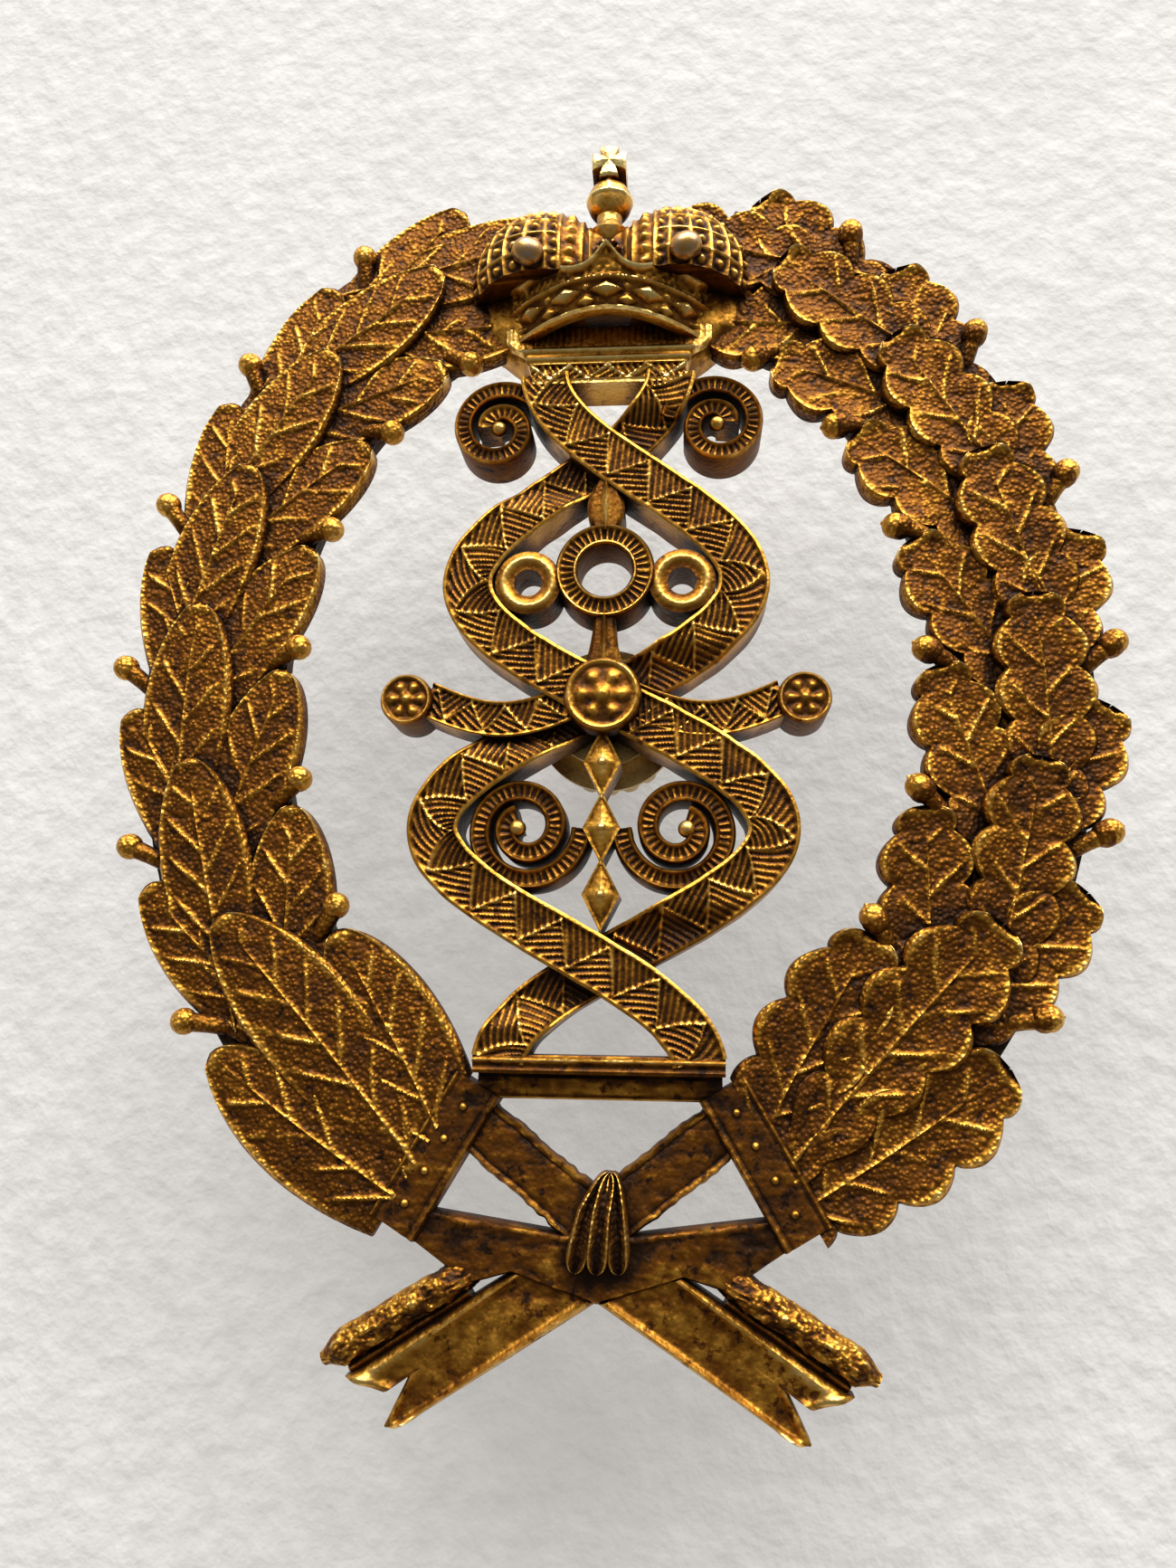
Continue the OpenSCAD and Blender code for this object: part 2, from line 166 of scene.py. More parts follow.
def grain(x, z, size, seed=0.0):
    """Random bumps between -1 and 1, about `size` millimetres apart."""
    gx, gz = x / size, z / size
    ix, iz = np.floor(gx), np.floor(gz)
    fx, fz = smooth(gx - ix, 0, 1), smooth(gz - iz, 0, 1)

    def knot(dx, dz):
        wave = np.sin((ix + dx) * 127.1 + (iz + dz) * 311.7 + seed * 74.7) * 43758.5
        return 2 * (wave - np.floor(wave)) - 1

    lower = knot(0, 0) * (1 - fx) + knot(1, 0) * fx
    upper = knot(0, 1) * (1 - fx) + knot(1, 1) * fx
    return lower * (1 - fz) + upper * fz


def rim(t, d=0.0):
    """A point on the right-hand branch: t is the place along it, d the distance outwards."""
    a = np.radians(t)
    b = np.where(a > 0, RISE, DROP)
    out = normalised(np.stack([b * np.cos(a), HALF_W * np.sin(a)], -1))
    middle = np.stack([HALF_W * np.cos(a), MID_Z + b * np.sin(a)], -1)
    return middle + np.asarray(d)[..., None] * out


def at(place, h):
    """The point in space at a place in the plan and a height in front of the back face."""
    return place[0], -h, place[1]


def heading(t):
    """Direction in which the branch grows at t, in degrees."""
    a = math.radians(t)
    b = RISE if t > 0 else DROP
    return math.degrees(math.atan2(b * math.cos(a), -HALF_W * math.sin(a)))


def resample(path, gap):
    """The path's points and distances along it, at even spacing."""
    path = np.asarray(path, float)
    run = np.concatenate([[0], np.cumsum(np.linalg.norm(np.diff(path, axis=0), axis=1))])
    s = np.linspace(0, run[-1], max(4, int(run[-1] / gap) + 1))
    return np.stack([np.interp(s, run, path[:, k]) for k in (0, 1)], -1), s


# ---- solids ----

def quads(grid, wrap_rows=False):
    """Faces between neighbouring rows and columns of a grid of vertex numbers."""
    if wrap_rows:
        grid = np.vstack([grid, grid[:1]])
    faces = np.stack([grid[:-1, :-1], grid[1:, :-1], grid[1:, 1:], grid[:-1, 1:]], -1)
    return faces.reshape(-1, 4).tolist()


class Shell:
    """Gathers the solids of one piece: vertices in millimetres, faces, and a wear tone for each vertex.

    The tone runs from 0, a dark recess, to 1, a rubbed edge.
    """

    WALL = 0.22

    def __init__(self):
        self.points = []
        self.tones = []
        self.faces = []
        self.size = 0

    def add(self, points, tone, faces):
        self.points.append(points)
        self.tones.append(np.broadcast_to(tone, len(points)))
        self.faces += [[i + self.size for i in face] for face in faces]
        self.size += len(points)

    def slab(self, x, z, h, tone, back=0.0):
        """A solid whose face is the grid (x, z, h), with the same grid again as its back."""
        rows, cols = x.shape
        front = np.stack([x, -h, z], -1).reshape(-1, 3)
        rear = np.stack([x, np.full_like(x, -back), z], -1).reshape(-1, 3)
        grid = np.arange(rows * cols).reshape(rows, cols)
        edge = np.concatenate([grid[0, :-1], grid[:-1, -1], grid[-1, :0:-1], grid[:0:-1, 0]])
        edge = np.append(edge, edge[0])
        faces = quads(grid) + quads(grid + rows * cols)
        faces += quads(np.stack([edge, edge + rows * cols], -1))
        shades = np.concatenate([np.broadcast_to(tone, x.shape).ravel(), np.full(rows * cols, self.WALL)])
        self.add(np.vstack([front, rear]), shades, faces)

    def relief(self, x, z, h, tone, back=0.0, closed=False, facing=-1):
        """A solid whose face is the grid (x, z, h), with walls down to the height `back`."""
        rows, cols = x.shape
        h = np.broadcast_to(h, x.shape)
        front = np.stack([x, facing * h, z], -1).reshape(-1, 3)
        foot_x = np.concatenate([x[:, 0], x[:, -1]])
        foot_z = np.concatenate([z[:, 0], z[:, -1]])
        feet = np.stack([foot_x, np.full(2 * rows, facing * back), foot_z], -1)
        grid = np.arange(rows * cols).reshape(rows, cols)
        left = rows * cols + np.arange(rows)
        right = left + rows
        parts = [front, feet]
        faces = quads(grid, closed)
        faces += quads(np.stack([left, grid[:, 0]], -1), closed)
        faces += quads(np.stack([grid[:, -1], right], -1), closed)
        if closed:
            faces += quads(np.stack([right, left], -1), True)
        else:
            faces += quads(np.stack([right, left], -1)[1:-1])
            start = rows * cols + 2 * rows
            for row, inner in ((0, 1), (rows - 1, rows - 2)):
                own = np.arange(start, start + cols - 2)
                start += cols - 2
                parts.append(np.stack(
                    [x[row, 1:-1], np.full(cols - 2, facing * back), z[row, 1:-1]], -1))
                edge = np.concatenate([[left[row]], own, [right[row]]])
                faces += quads(np.stack([edge, grid[row]], 0))
                faces.append([*edge.tolist(), int(right[inner]), int(left[inner])])
        points = np.vstack(parts)
        shades = np.full(len(points), self.WALL)
        shades[:rows * cols] = np.broadcast_to(tone, x.shape).ravel()
        self.add(points, shades, faces)

    def loft(self, rings, tone):
        """A closed solid through rings of points, an array of rows, columns and x, y, z."""
        rows, cols = rings.shape[:2]
        grid = np.arange(rows * cols).reshape(rows, cols)
        faces = quads(np.hstack([grid, grid[:, :1]]))
        faces += [grid[0].tolist(), grid[-1][::-1].tolist()]
        self.add(rings.reshape(-1, 3), np.broadcast_to(tone, (rows, cols)).ravel(), faces)

    def rod(self, points, radius, tone, around=14):
        """A round bar along points in space; radius has one value for each point, or each ring's points."""
        points = np.asarray(points, float)
        along = normalised(np.gradient(points, axis=0))
        guide = np.array([0.31, 0.12, 0.94]) if abs(along[0][2]) < 0.8 else np.array([0.94, 0.12, 0.31])
        side = normalised(np.cross(along, guide))
        up = np.cross(side, along)
        a = full_turn(around)
        radius = np.asarray(radius, float)
        radius = radius[:, None] if radius.ndim == 1 else radius
        spread = side[:, None] * np.cos(a)[:, None] + up[:, None] * np.sin(a)[:, None]
        self.loft(points[:, None] + spread * radius[..., None], tone)

    def ball(self, centre, radius, tone=0.7, around=14, axis=(0, 1, 0), stretch=1.0):
        """A ball, longer along its axis by the given stretch."""
        lat = np.radians(np.linspace(-88, 88, around // 2 + 3))
        points = np.asarray(centre) + np.outer(np.sin(lat) * radius * stretch, axis)
        self.rod(points, np.cos(lat) * radius, tone, around)


def add_object(name, data):
    obj = bpy.data.objects.new(name, data)
    bpy.context.scene.collection.objects.link(obj)
    return obj


def piece(node, material, draw, *details, slot="bright_gilt", body="badge", cuts=(), flip=False):
    """The piece that replaces a CAD node: draw(shell, *details) makes its solids, and flip mirrors them."""
    shell = Shell()
    draw(shell, *details)
    name = f"{node}_v"
    points = np.vstack(shell.points) * MM
    if flip:
        points = points * [-1, 1, 1]
    mesh = bpy.data.meshes.new(name)
    mesh.from_pydata(points.tolist(), [], shell.faces)
    tones = np.concatenate(shell.tones).astype(np.float32)
    mesh.attributes.new("tone", "FLOAT", "POINT").data.foreach_set("value", tones)
    bm = bmesh.new()
    bm.from_mesh(mesh)
    for point, normal in cuts:
        trim(bm, np.array(point) * MM, normal)
    bmesh.ops.recalc_face_normals(bm, faces=bm.faces)
    bm.to_mesh(mesh)
    bm.free()
    mesh.shade_smooth()
    mesh.set_sharp_from_angle(angle=math.radians(38))
    mesh.materials.append(material)
    obj = add_object(name, mesh)
    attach(obj, body)
    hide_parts(node)


def trim(bm, point, normal):
    """Cuts away what lies beyond a plane and closes the cut."""
    geometry = bm.verts[:] + bm.edges[:] + bm.faces[:]
    cut = bmesh.ops.bisect_plane(
        bm, geom=geometry, plane_co=Vector(point), plane_no=Vector(normal), clear_outer=True)
    edges = [e for e in cut["geom_cut"] if isinstance(e, bmesh.types.BMEdge)]
    bmesh.ops.edgeloop_fill(bm, edges=edges)


def strip(shell, path, half, top, gap=FINE, across=21, back=0.0):
    """A strip along a path.  top(u, s, x, z) gives height and tone, with u from -1 to 1 across it."""
    points, s = resample(path, gap)
    along = normalised(np.gradient(points, axis=0))
    width = half(s / s[-1]) if callable(half) else np.full(len(s), half)
    u = np.linspace(-1, 1, across)
    x = points[:, :1] - along[:, 1:] * width[:, None] * u
    z = points[:, 1:] + along[:, :1] * width[:, None] * u
    h, tone = top(np.broadcast_to(u, x.shape), np.broadcast_to(s[:, None], x.shape), x, z)
    shell.relief(x, z, h, tone, back)


def disc(shell, centre, radius, top, back=0.0, inner=0.02, gap=FINE, outline=None, facing=-1):
    """A round plate or ring.  top(f, a, x, z) gives height and tone, with f from 0 to 1 outwards."""
    a = full_turn(int(2 * np.pi * radius / gap))
    f = np.linspace(inner / radius, 1, max(5, int((radius - inner) / gap)))
    angle, part = np.meshgrid(a, f, indexing="ij")
    reach = part * radius
    if outline is not None:
        reach = reach * (1 - (1 - outline(angle)) * smooth(part, 0.6, 1))
    x = centre[0] + reach * np.cos(angle)
    z = centre[1] + reach * np.sin(angle)
    h, tone = top(part, angle, x, z)
    shell.relief(x, z, h, tone, back, closed=True, facing=facing)


# ---- surface patterns ----

def stipple(x, z, seed=0.0):
    """Hand-punched ground: fine grain with a coarser one under it."""
    return 0.6 * grain(x, z, 0.2, seed) + 0.4 * grain(x, z, 0.42, seed + 5)


def worn(x, z, seed=0.0):
    """Soft dents and patches of a plain worn face."""
    return 0.5 * grain(x, z, 0.9, seed) + 0.5 * grain(x, z, 0.3, seed + 3)


def rounded(u, edge=0.12, depth=0.1):
    """Drop of a face near its edges, so that they catch the light."""
    return -depth * smooth(np.abs(u), 1 - edge, 1)


def zigzag(u, s, half, period=2.2):
    """Raised borders, a zigzag between them, and triangles hatched in two directions."""
    zig = 0.74 * (4 * np.abs(s / period % 1 - 0.5) - 1)
    line = bump((u - zig) * half * 0.75, 0.08)
    turned = np.where(u > zig, 0.85 * s + 0.5 * u * half, 0.5 * s - 0.85 * u * half)
    hatch = 0.5 + 0.5 * np.cos(2 * np.pi * turned / 0.255)
    border = smooth(np.abs(u), 0.78, 0.86)
    ground = 1 - border
    drop = -ground * (0.17 - 0.09 * hatch * (1 - line) - 0.16 * line)
    tone = 0.16 + 0.46 * border + ground * (0.5 * line + 0.34 * hatch)
    return drop + rounded(u, 0.08, 0.06), tone


def fluted(u, s):
    """Two rims with a fluted channel between them."""
    rims = bump(np.abs(u) - 0.74, 0.2)
    flute = 0.5 + 0.5 * np.cos(2 * np.pi * s / 0.27)
    channel = 1 - smooth(np.abs(u), 0.4, 0.62)
    drop = -0.22 * (1 - rims) + 0.09 * flute * channel
    return drop, 0.2 + 0.55 * rims + 0.3 * flute * channel


def lined(u):
    """Engraved line just inside each edge, with a bright lip."""
    line = bump(np.abs(u) - 0.72, 0.07)
    lip = bump(np.abs(u) - 0.86, 0.09)
    return 0.05 * lip - 0.05 * line, 0.22 * lip - 0.1 * line


# ---- materials ----

class Nodes:
    """Short way to add nodes to a material or a world."""

    def __init__(self, owner):
        owner.use_nodes = True
        self.tree = owner.node_tree
        self.coordinates = self.add("ShaderNodeTexCoord").outputs
        self.place = self.coordinates["Object"]

    def add(self, kind, inputs=None, **settings):
        node = self.tree.nodes.new(kind)
        for key, value in settings.items():
            setattr(node, key, value)
        for key, value in (inputs or {}).items():
            self.feed(value, node.inputs[key])
        return node

    def feed(self, value, socket):
        if isinstance(value, bpy.types.NodeSocket):
            self.tree.links.new(value, socket)
        else:
            socket.default_value = value

    def noise(self, size_mm, detail=3.0, roughness=0.55):
        """Noise with features of a size in millimetres, from 0 to 1."""
        scale = 1 / (size_mm * MM)
        return self.add("ShaderNodeTexNoise", {
            "Vector": self.place, "Scale": scale, "Detail": detail, "Roughness": roughness,
        }).outputs["Fac"]

    def math(self, operation, a, b, clamp=False):
        return self.add("ShaderNodeMath", {0: a, 1: b}, operation=operation, use_clamp=clamp).outputs[0]

    def add_up(self, *values, clamp=False):
        """The sum of the values, held between 0 and 1 if clamp is set."""
        total = values[0]
        for value in values[1:-1]:
            total = self.math("ADD", total, value)
        return self.math("ADD", total, values[-1], clamp)

    def spread(self, value, low_out, high_out, low_in=0.0, high_in=1.0):
        """Maps one range of values onto another."""
        return self.add("ShaderNodeMapRange", {
            "Value": value, "From Min": low_in, "From Max": high_in, "To Min": low_out, "To Max": high_out,
        }).outputs["Result"]

    def ramp(self, value, stops):
        node = self.add("ShaderNodeValToRGB", {"Fac": value})
        elements = node.color_ramp.elements
        while len(elements) < len(stops):
            elements.new(0.5)
        for element, (position, colour) in zip(elements, stops):
            element.position = position
            element.color = (*colour, 1)
        return node.outputs["Color"]

    def bump(self, height, strength, distance_mm):
        return self.add("ShaderNodeBump", {
            "Height": height, "Strength": strength, "Distance": distance_mm * MM,
        }).outputs["Normal"]


# Gilding, from the dirt in its recesses to its rubbed edges
PATINA = (0.018, 0.006, 0.001)
BROWN = (0.17, 0.058, 0.006)
GOLD = (0.66, 0.33, 0.045)
BRIGHT = (1.0, 0.78, 0.3)


class Metal(Nodes):
    """A metal whose base colour, roughness and bump are fed by nodes."""

    def __init__(self, name):
        self.material = bpy.data.materials.new(name)
        super().__init__(self.material)
        self.surface = self.tree.nodes["Principled BSDF"].inputs
        self.surface["Metallic"].default_value = 1.0

    def finish(self, colour, roughness, normal):
        self.feed(colour, self.surface["Base Color"])
        self.feed(roughness, self.surface["Roughness"])
        self.feed(normal, self.surface["Normal"])
        return self.material


def gilt(name, lift, rough=0.3, chatter=1.0, stain=0.2):
    """Old fire gilding: brown in the recesses, golden on the faces and bright on rubbed edges, with painted
    shade from an occlusion node where nearby parts crowd or overhang a face.
    """
    n = Metal(name)
    tone = n.add("ShaderNodeAttribute", attribute_name="tone").outputs["Fac"]
    # Painted shade: ambient occlusion darkens the colour and lowers the metallic where nearby parts crowd
    # or overhang a face
    hollow = n.add("ShaderNodeAmbientOcclusion", {"Distance": 0.9 * MM}, samples=6).outputs["AO"]
    patches = n.noise(2.4, 3.0, 0.55)
    specks = n.noise(0.45, 3.0, 0.6)
    stains = n.noise(0.55, 4.0, 0.65)
    pellets = n.add("ShaderNodeTexVoronoi", {
        "Vector": n.place, "Scale": 1 / (0.18 * MM), "Smoothness": 0.6,
    }, feature="SMOOTH_F1").outputs["Distance"]
    speckle = n.spread(specks, -0.07, 0.07, 0.3, 0.7)
    level = n.add_up(
        tone,
        # painted shade from the occlusion node
        n.spread(hollow, -0.55, 0.0, 0.25, 0.95),
        n.spread(patches, lift - 0.09, lift + 0.09, 0.3, 0.7),
        speckle,
        n.spread(stains, -stain, 0.0, 0.34, 0.43),
        n.spread(pellets, 0.07 * chatter, -0.08 * chatter, 0.1, 0.55),
        clamp=True)
    n.feed(n.spread(level, 0.75, 1.0, 0.05, 0.35), n.surface["Metallic"])
    colour = n.ramp(level, [(0.0, PATINA), (0.27, BROWN), (0.58, GOLD), (1.0, BRIGHT)])
    roughness = n.add_up(n.spread(level, rough + 0.22, rough), speckle)
    height = n.add_up(n.math("MULTIPLY", pellets, -1.3 * chatter), n.math("MULTIPLY", specks, 0.5))
    return n.finish(colour, roughness, n.bump(height, 0.9, 0.06))


def cabochon_metal():
    """Gilding rubbed through to a grey, slightly purple metal."""
    n = Metal("worn_gilt")
    patches = n.noise(0.5, 4.0, 0.6)
    fine = n.noise(0.09, 2.0)
    colour = n.ramp(patches, [
        (0.36, (0.50, 0.27, 0.06)), (0.52, (0.48, 0.30, 0.14)), (0.66, (0.42, 0.33, 0.30))])
    return n.finish(colour, n.spread(patches, 0.24, 0.42), n.bump(fine, 0.3, 0.03))


def turned_brass():
    """Plain brass of the fixing, with fine turning marks across its axis and dull patches."""
    n = Metal("fixing_brass")
    patches = n.noise(1.4, 4.0, 0.6)
    fine = n.noise(0.12, 3.0)
    marks = n.add("ShaderNodeTexWave", {
        "Vector": n.place, "Scale": 2200.0, "Distortion": 1.2, "Detail": 2.0,
    }, wave_type="BANDS", bands_direction="Y").outputs["Fac"]
    level = n.add_up(n.math("MULTIPLY", patches, 0.8), n.math("MULTIPLY", fine, 0.3))
    colour = n.ramp(level, [
        (0.3, (0.10, 0.06, 0.02)), (0.5, (0.42, 0.27, 0.09)), (0.75, (0.78, 0.58, 0.24))])
    height = n.add_up(n.math("MULTIPLY", marks, 0.5), fine)
    return n.finish(colour, n.spread(patches, 0.26, 0.5, 0.3, 0.7), n.bump(height, 0.35, 0.03))


def paper():
    """Pale fibrous paper, seen from its front only, with a faint painted glow that lifts it and pales the
    shadows on it.
    """
    material = bpy.data.materials.new("paper")
    n = Nodes(material)
    shader = n.tree.nodes["Principled BSDF"]
    clouds = n.noise(9.0, 3.0)
    fibres = n.noise(1.2, 3.0, 0.5)
    shade = n.add_up(n.math("MULTIPLY", clouds, 0.4), n.math("MULTIPLY", fibres, 0.6))
    colour = n.ramp(shade, [(0.35, (0.36, 0.357, 0.35)), (0.65, (0.45, 0.447, 0.44))])
    n.feed(colour, shader.inputs["Base Color"])
    n.feed(n.bump(fibres, 0.6, 0.45), shader.inputs["Normal"])
    shader.inputs["Roughness"].default_value = 0.9
    # Painted light: the paper glows a little, though it is no lamp, which pales the badge's shadows on it
    # and lights the badge faintly from behind
    shader.inputs["Emission Color"].default_value = (1.0, 0.97, 0.93, 1)
    shader.inputs["Emission Strength"].default_value = 0.35
    clear = n.add("ShaderNodeBsdfTransparent").outputs["BSDF"]
    behind = n.add("ShaderNodeNewGeometry").outputs["Backfacing"]
    mix = n.add("ShaderNodeMixShader", {0: behind, 1: shader.outputs["BSDF"], 2: clear})
    n.feed(mix.outputs[0], n.tree.nodes["Material Output"].inputs["Surface"])
    return material


BRIGHT_GILT = gilt("bright_gilt", 0.15, rough=0.26, chatter=0.25, stain=0.16)
WORK_GILT = gilt("work_gilt", -0.03, rough=0.28, chatter=0.25, stain=0.22)
LEAF_GILT = gilt("leaf_gilt", -0.02, rough=0.33)
DARK_GILT = gilt("dark_gilt", -0.12, rough=0.32, chatter=0.3, stain=0.34)
WORN = cabochon_metal()
BRASS = turned_brass()


# ---- wreath ----

def laurel_half(f):
    """Half width of a blunt oval, f from its tip to its base."""
    return np.maximum(LEAF_W / 2 * np.sin(np.pi * np.clip(f, 0, 1) ** 0.78) ** 0.7, 0.03)


def lobe(f):
    """0 in the notches between an oak leaf's lobes and 1 on the lobes."""
    return np.abs(np.cos(np.pi * LOBES * f)) ** 0.7


def oak_half(f):
    """Half width of a leaf with rounded lobes, f from its tip to its base."""
    body = np.sin(np.pi * np.clip(f, 0, 1) ** 0.62) ** 0.6
    return np.maximum(LEAF_W / 2 * body * (0.74 + 0.31 * lobe(f)), 0.03)


def leaf_top(u, f, s, half, x, z, lobed, seed):
    """Relief and tone of one leaf's face: midrib, side veins, lips and punched ground."""
    c = np.abs(u) * half
    wander = 0.12 * grain(x, z, 1.1, seed)
    fade = 1 - smooth(np.abs(u), 0.55, 0.88)
    midrib = bump(u * half + wander * 0.3, 0.05 + 0.07 * f) * smooth(f, 0.05, 0.25)
    gap = LEAF_LEN / LOBES if lobed else 2.0 + 0.15 * math.sin(seed * 3.1)
    slant = 1.0 if lobed else 1.35
    start = s + slant * c + wander + gap * (0.5 * (u > 0) + 0.13 * seed)
    width = 0.05 + 0.05 * fade
    vein = bump(wrap(start, gap) / math.hypot(1, slant), width) * fade * smooth(s, 0.7, 1.4)
    vein = vein * smooth(grain(x, z, 1.3, seed + 2), -0.9, -0.1)
    lip = bump(np.abs(u) - 0.91, 0.08) * (1 - smooth(f, 0.35, 0.7))
    tip_lip = bump(f - 0.022, 0.016)
    ground = stipple(x, z, seed)
    if lobed:
        belly = 0.16 * lobe(f) * smooth(np.abs(u), 0.25, 0.8) - 0.04
        lip = lip * (0.4 + 0.6 * lobe(f))
    else:
        belly = 0.12 * (1 - u ** 2) - 0.02
    ridge = np.maximum(midrib, vein)
    h = belly + 0.12 * ridge + 0.08 * lip + 0.08 * tip_lip + 0.03 * ground * (1 - ridge)
    h = h + rounded(u, 0.09, 0.14) - 0.14 * (1 - smooth(f, 0.0, 0.02))
    tone = 0.3 + 0.42 * ridge + 0.42 * lip + 0.3 * tip_lip + 0.08 * ground + 0.1 * belly
    return h, tone


def leaf(shell, t, d, turn, tip_top, base_top, lobed, seed, size=(1, 1)):
    """One leaf, its tip raised over the base of the leaf in front of it.  size scales length and width."""
    toward = unit(heading(t) + turn)
    side = np.array([-toward[1], toward[0]])
    tip = rim(t, d)
    length = LEAF_LEN * size[0]
    f = np.concatenate([np.linspace(0, 0.72, 112, endpoint=False), np.linspace(0.72, 1, 14)])[:, None]
    u = np.linspace(-1, 1, 49)[None]
    half = (oak_half if lobed else laurel_half)(f) * size[1]
    sway = 0.25 * math.sin(seed * 7.3) * np.sin(np.pi * f) + half * u
    x = tip[0] - toward[0] * length * f + side[0] * sway
    z = tip[1] - toward[1] * length * f + side[1] * sway
    u, s = u + 0 * f, length * f + 0 * u
    h, tone = leaf_top(u, f + 0 * u, s, half, x, z, lobed, seed)
    shell.relief(x, z, tip_top + (base_top - tip_top) * f + h - 0.08, tone,
                 back=BAND_TOP - 0.25 - BACK_STEP * seed / 3)


def side_leaves(shell, lobed):
    """The leaves along both edges, laid from the top down so that each tip lies over the next root."""
    for k in reversed(range(LEAF_GROUPS)):
        turns, size = ((2, -22), ROOT_SIZE) if k == 0 else ((17, -29), (1, 1))
        for (t, d), turn, seed in zip((INNER_ROW, OUTER_ROW), turns, (1, 11)):
            leaf(shell, t + GROUP_PITCH * k, d, turn, SIDE_TOP + 0.1, 1.0, lobed, k + seed, size)


def middle_leaves(shell, lobed):
    """The row of leaves on top, along the middle of the branch."""
    t, d = MIDDLE_ROW
    for k in reversed(range(LEAF_GROUPS)):
        turn, size = (-18, ROOT_SIZE) if k == 0 else (-6, (1, 1))
        leaf(shell, t + GROUP_PITCH * k, d, turn, MIDDLE_TOP, 1.12, lobed, k + 21, size)


def strap_cut(side):
    """The plane that ends a branch 0.6 mm inside its strap."""
    along = unit(heading(STRAP_T)) * [side, 1]
    point = rim(STRAP_T) * [side, 1] - 0.6 * along
    return (point[0], 0, point[1]), (-along[0], 0, -along[1])


def branch_band(shell):
    """The plain band under the leaves, rough where it shows between them."""
    path = rim(np.linspace(STRAP_T - 3, BAND_END_T, 160))

    def top(u, s, x, z):
        ground = stipple(x, z, 2)
        return BAND_TOP + 0.03 * ground + rounded(u, 0.06, 0.12), 0.1 + 0.1 * ground

    strip(shell, path, BAND_HALF, top, gap=0.2, across=33, back=2 * BACK_STEP)


def berries(shell, first_out, first_in, lobed):
    """Balls on short stalks along both edges; an acorn also has a cup and a point."""
    for first, d in ((first_out, FRUIT_OUT), (first_in, FRUIT_IN)):
        for k in range(FRUITS):
            t = first + FRUIT_PITCH * k
            centre, root = rim(t, d), rim(t - 3, d * 0.6)
            reach = normalised(centre - root)
            middle = (root + centre) / 2
            stalk = [at(root, SIDE_TOP - 0.7), at(middle, SIDE_TOP - 0.1), at(centre, SIDE_TOP)]
            shell.rod(stalk, [0.42, 0.36, 0.4], 0.4, 14)
            shell.ball(at(centre, SIDE_TOP), BERRY_R, 0.62, 18)
            if lobed:
                shell.ball(at(centre - reach * 0.2, SIDE_TOP), BERRY_R + 0.01, 0.35, 16)
                shell.ball(at(centre + reach * 0.5, SIDE_TOP), 0.12, 0.8, 8)


def wreath():
    for lobed, name, fruit, places in (
            (False, "laurel", "berries", (-36.8, -33.5)), (True, "oak", "acorns", (-34.9, -34.5))):
        cuts = [strap_cut(1 if lobed else -1)]
        flip = not lobed
        piece(f"{name}_band", DARK_GILT, branch_band, slot="dark_gilt", flip=flip)
        piece(f"{name}_side_leaves", LEAF_GILT, side_leaves, lobed, cuts=cuts, flip=flip)
        piece(f"{name}_middle_leaves", LEAF_GILT, middle_leaves, lobed, cuts=cuts, flip=flip)
        piece(f"{name}_{fruit}", LEAF_GILT, berries, *places, lobed, flip=flip)


# ---- crown ----

def sphere_grid(lat, lon):
    """Directions from a ball's centre; lon runs from the front towards +X."""
    return np.stack(np.broadcast_arrays(
        np.cos(lat) * np.sin(lon), -np.cos(lat) * np.cos(lon), np.sin(lat)), -1)


def cap(shell):
    """A bulging cap: a net of raised lines with a pearl in each cell, and a pearled band inside."""
    lat = np.radians(np.linspace(-16, 88, 110))[:, None]
    lon = full_turn(300)[None]
    toward = sphere_grid(lat, lon)
    x, y, z = (toward * CAP_R).transpose(2, 0, 1)
    step = np.radians(16)
    across = np.arctan2(x, -y) + 0.06
    rise = lat + np.radians(2) + 0 * lon

    def in_cell(shift):
        """Distances across and up from the net's lines, or with a shift from its cells' middles."""
        return wrap(across + shift, step) * np.cos(lat) * CAP_R, wrap(rise + shift, step) * CAP_R

    line_x, line_z = in_cell(0)
    centre_far = np.hypot(*in_cell(step / 2))
    net = np.maximum(bump(line_x, 0.09), bump(line_z, 0.09))
    pearl, moat = bump(centre_far, 0.17), bump(centre_far - 0.3, 0.07)
    inner = x + CAP_X
    ridges = bump(inner - 1.1, 0.1) + bump(inner - 2.06, 0.1)
    beads = bump(np.hypot(inner - 1.58, wrap(np.arctan2(z, -y) * 3.2, 0.62)), 0.2)
    banded = 1 - smooth(inner, 2.1, 2.3)
    cells_h = 0.1 * net + 0.17 * pearl - 0.04 * moat
    cells_tone = 0.45 * net + 0.5 * pearl - 0.3 * moat
    lift = (1 - banded) * cells_h + banded * (0.14 * ridges + 0.2 * beads) - 0.13
    tone = 0.12 + (1 - banded) * cells_tone + banded * (0.4 * ridges + 0.5 * beads)
    tone = tone + 0.1 * grain(x, z + y, 0.3, 4)
    shell.loft(np.array([CAP_X, CAP_Y, CAP_Z]) + toward * (CAP_R + lift)[..., None], tone)


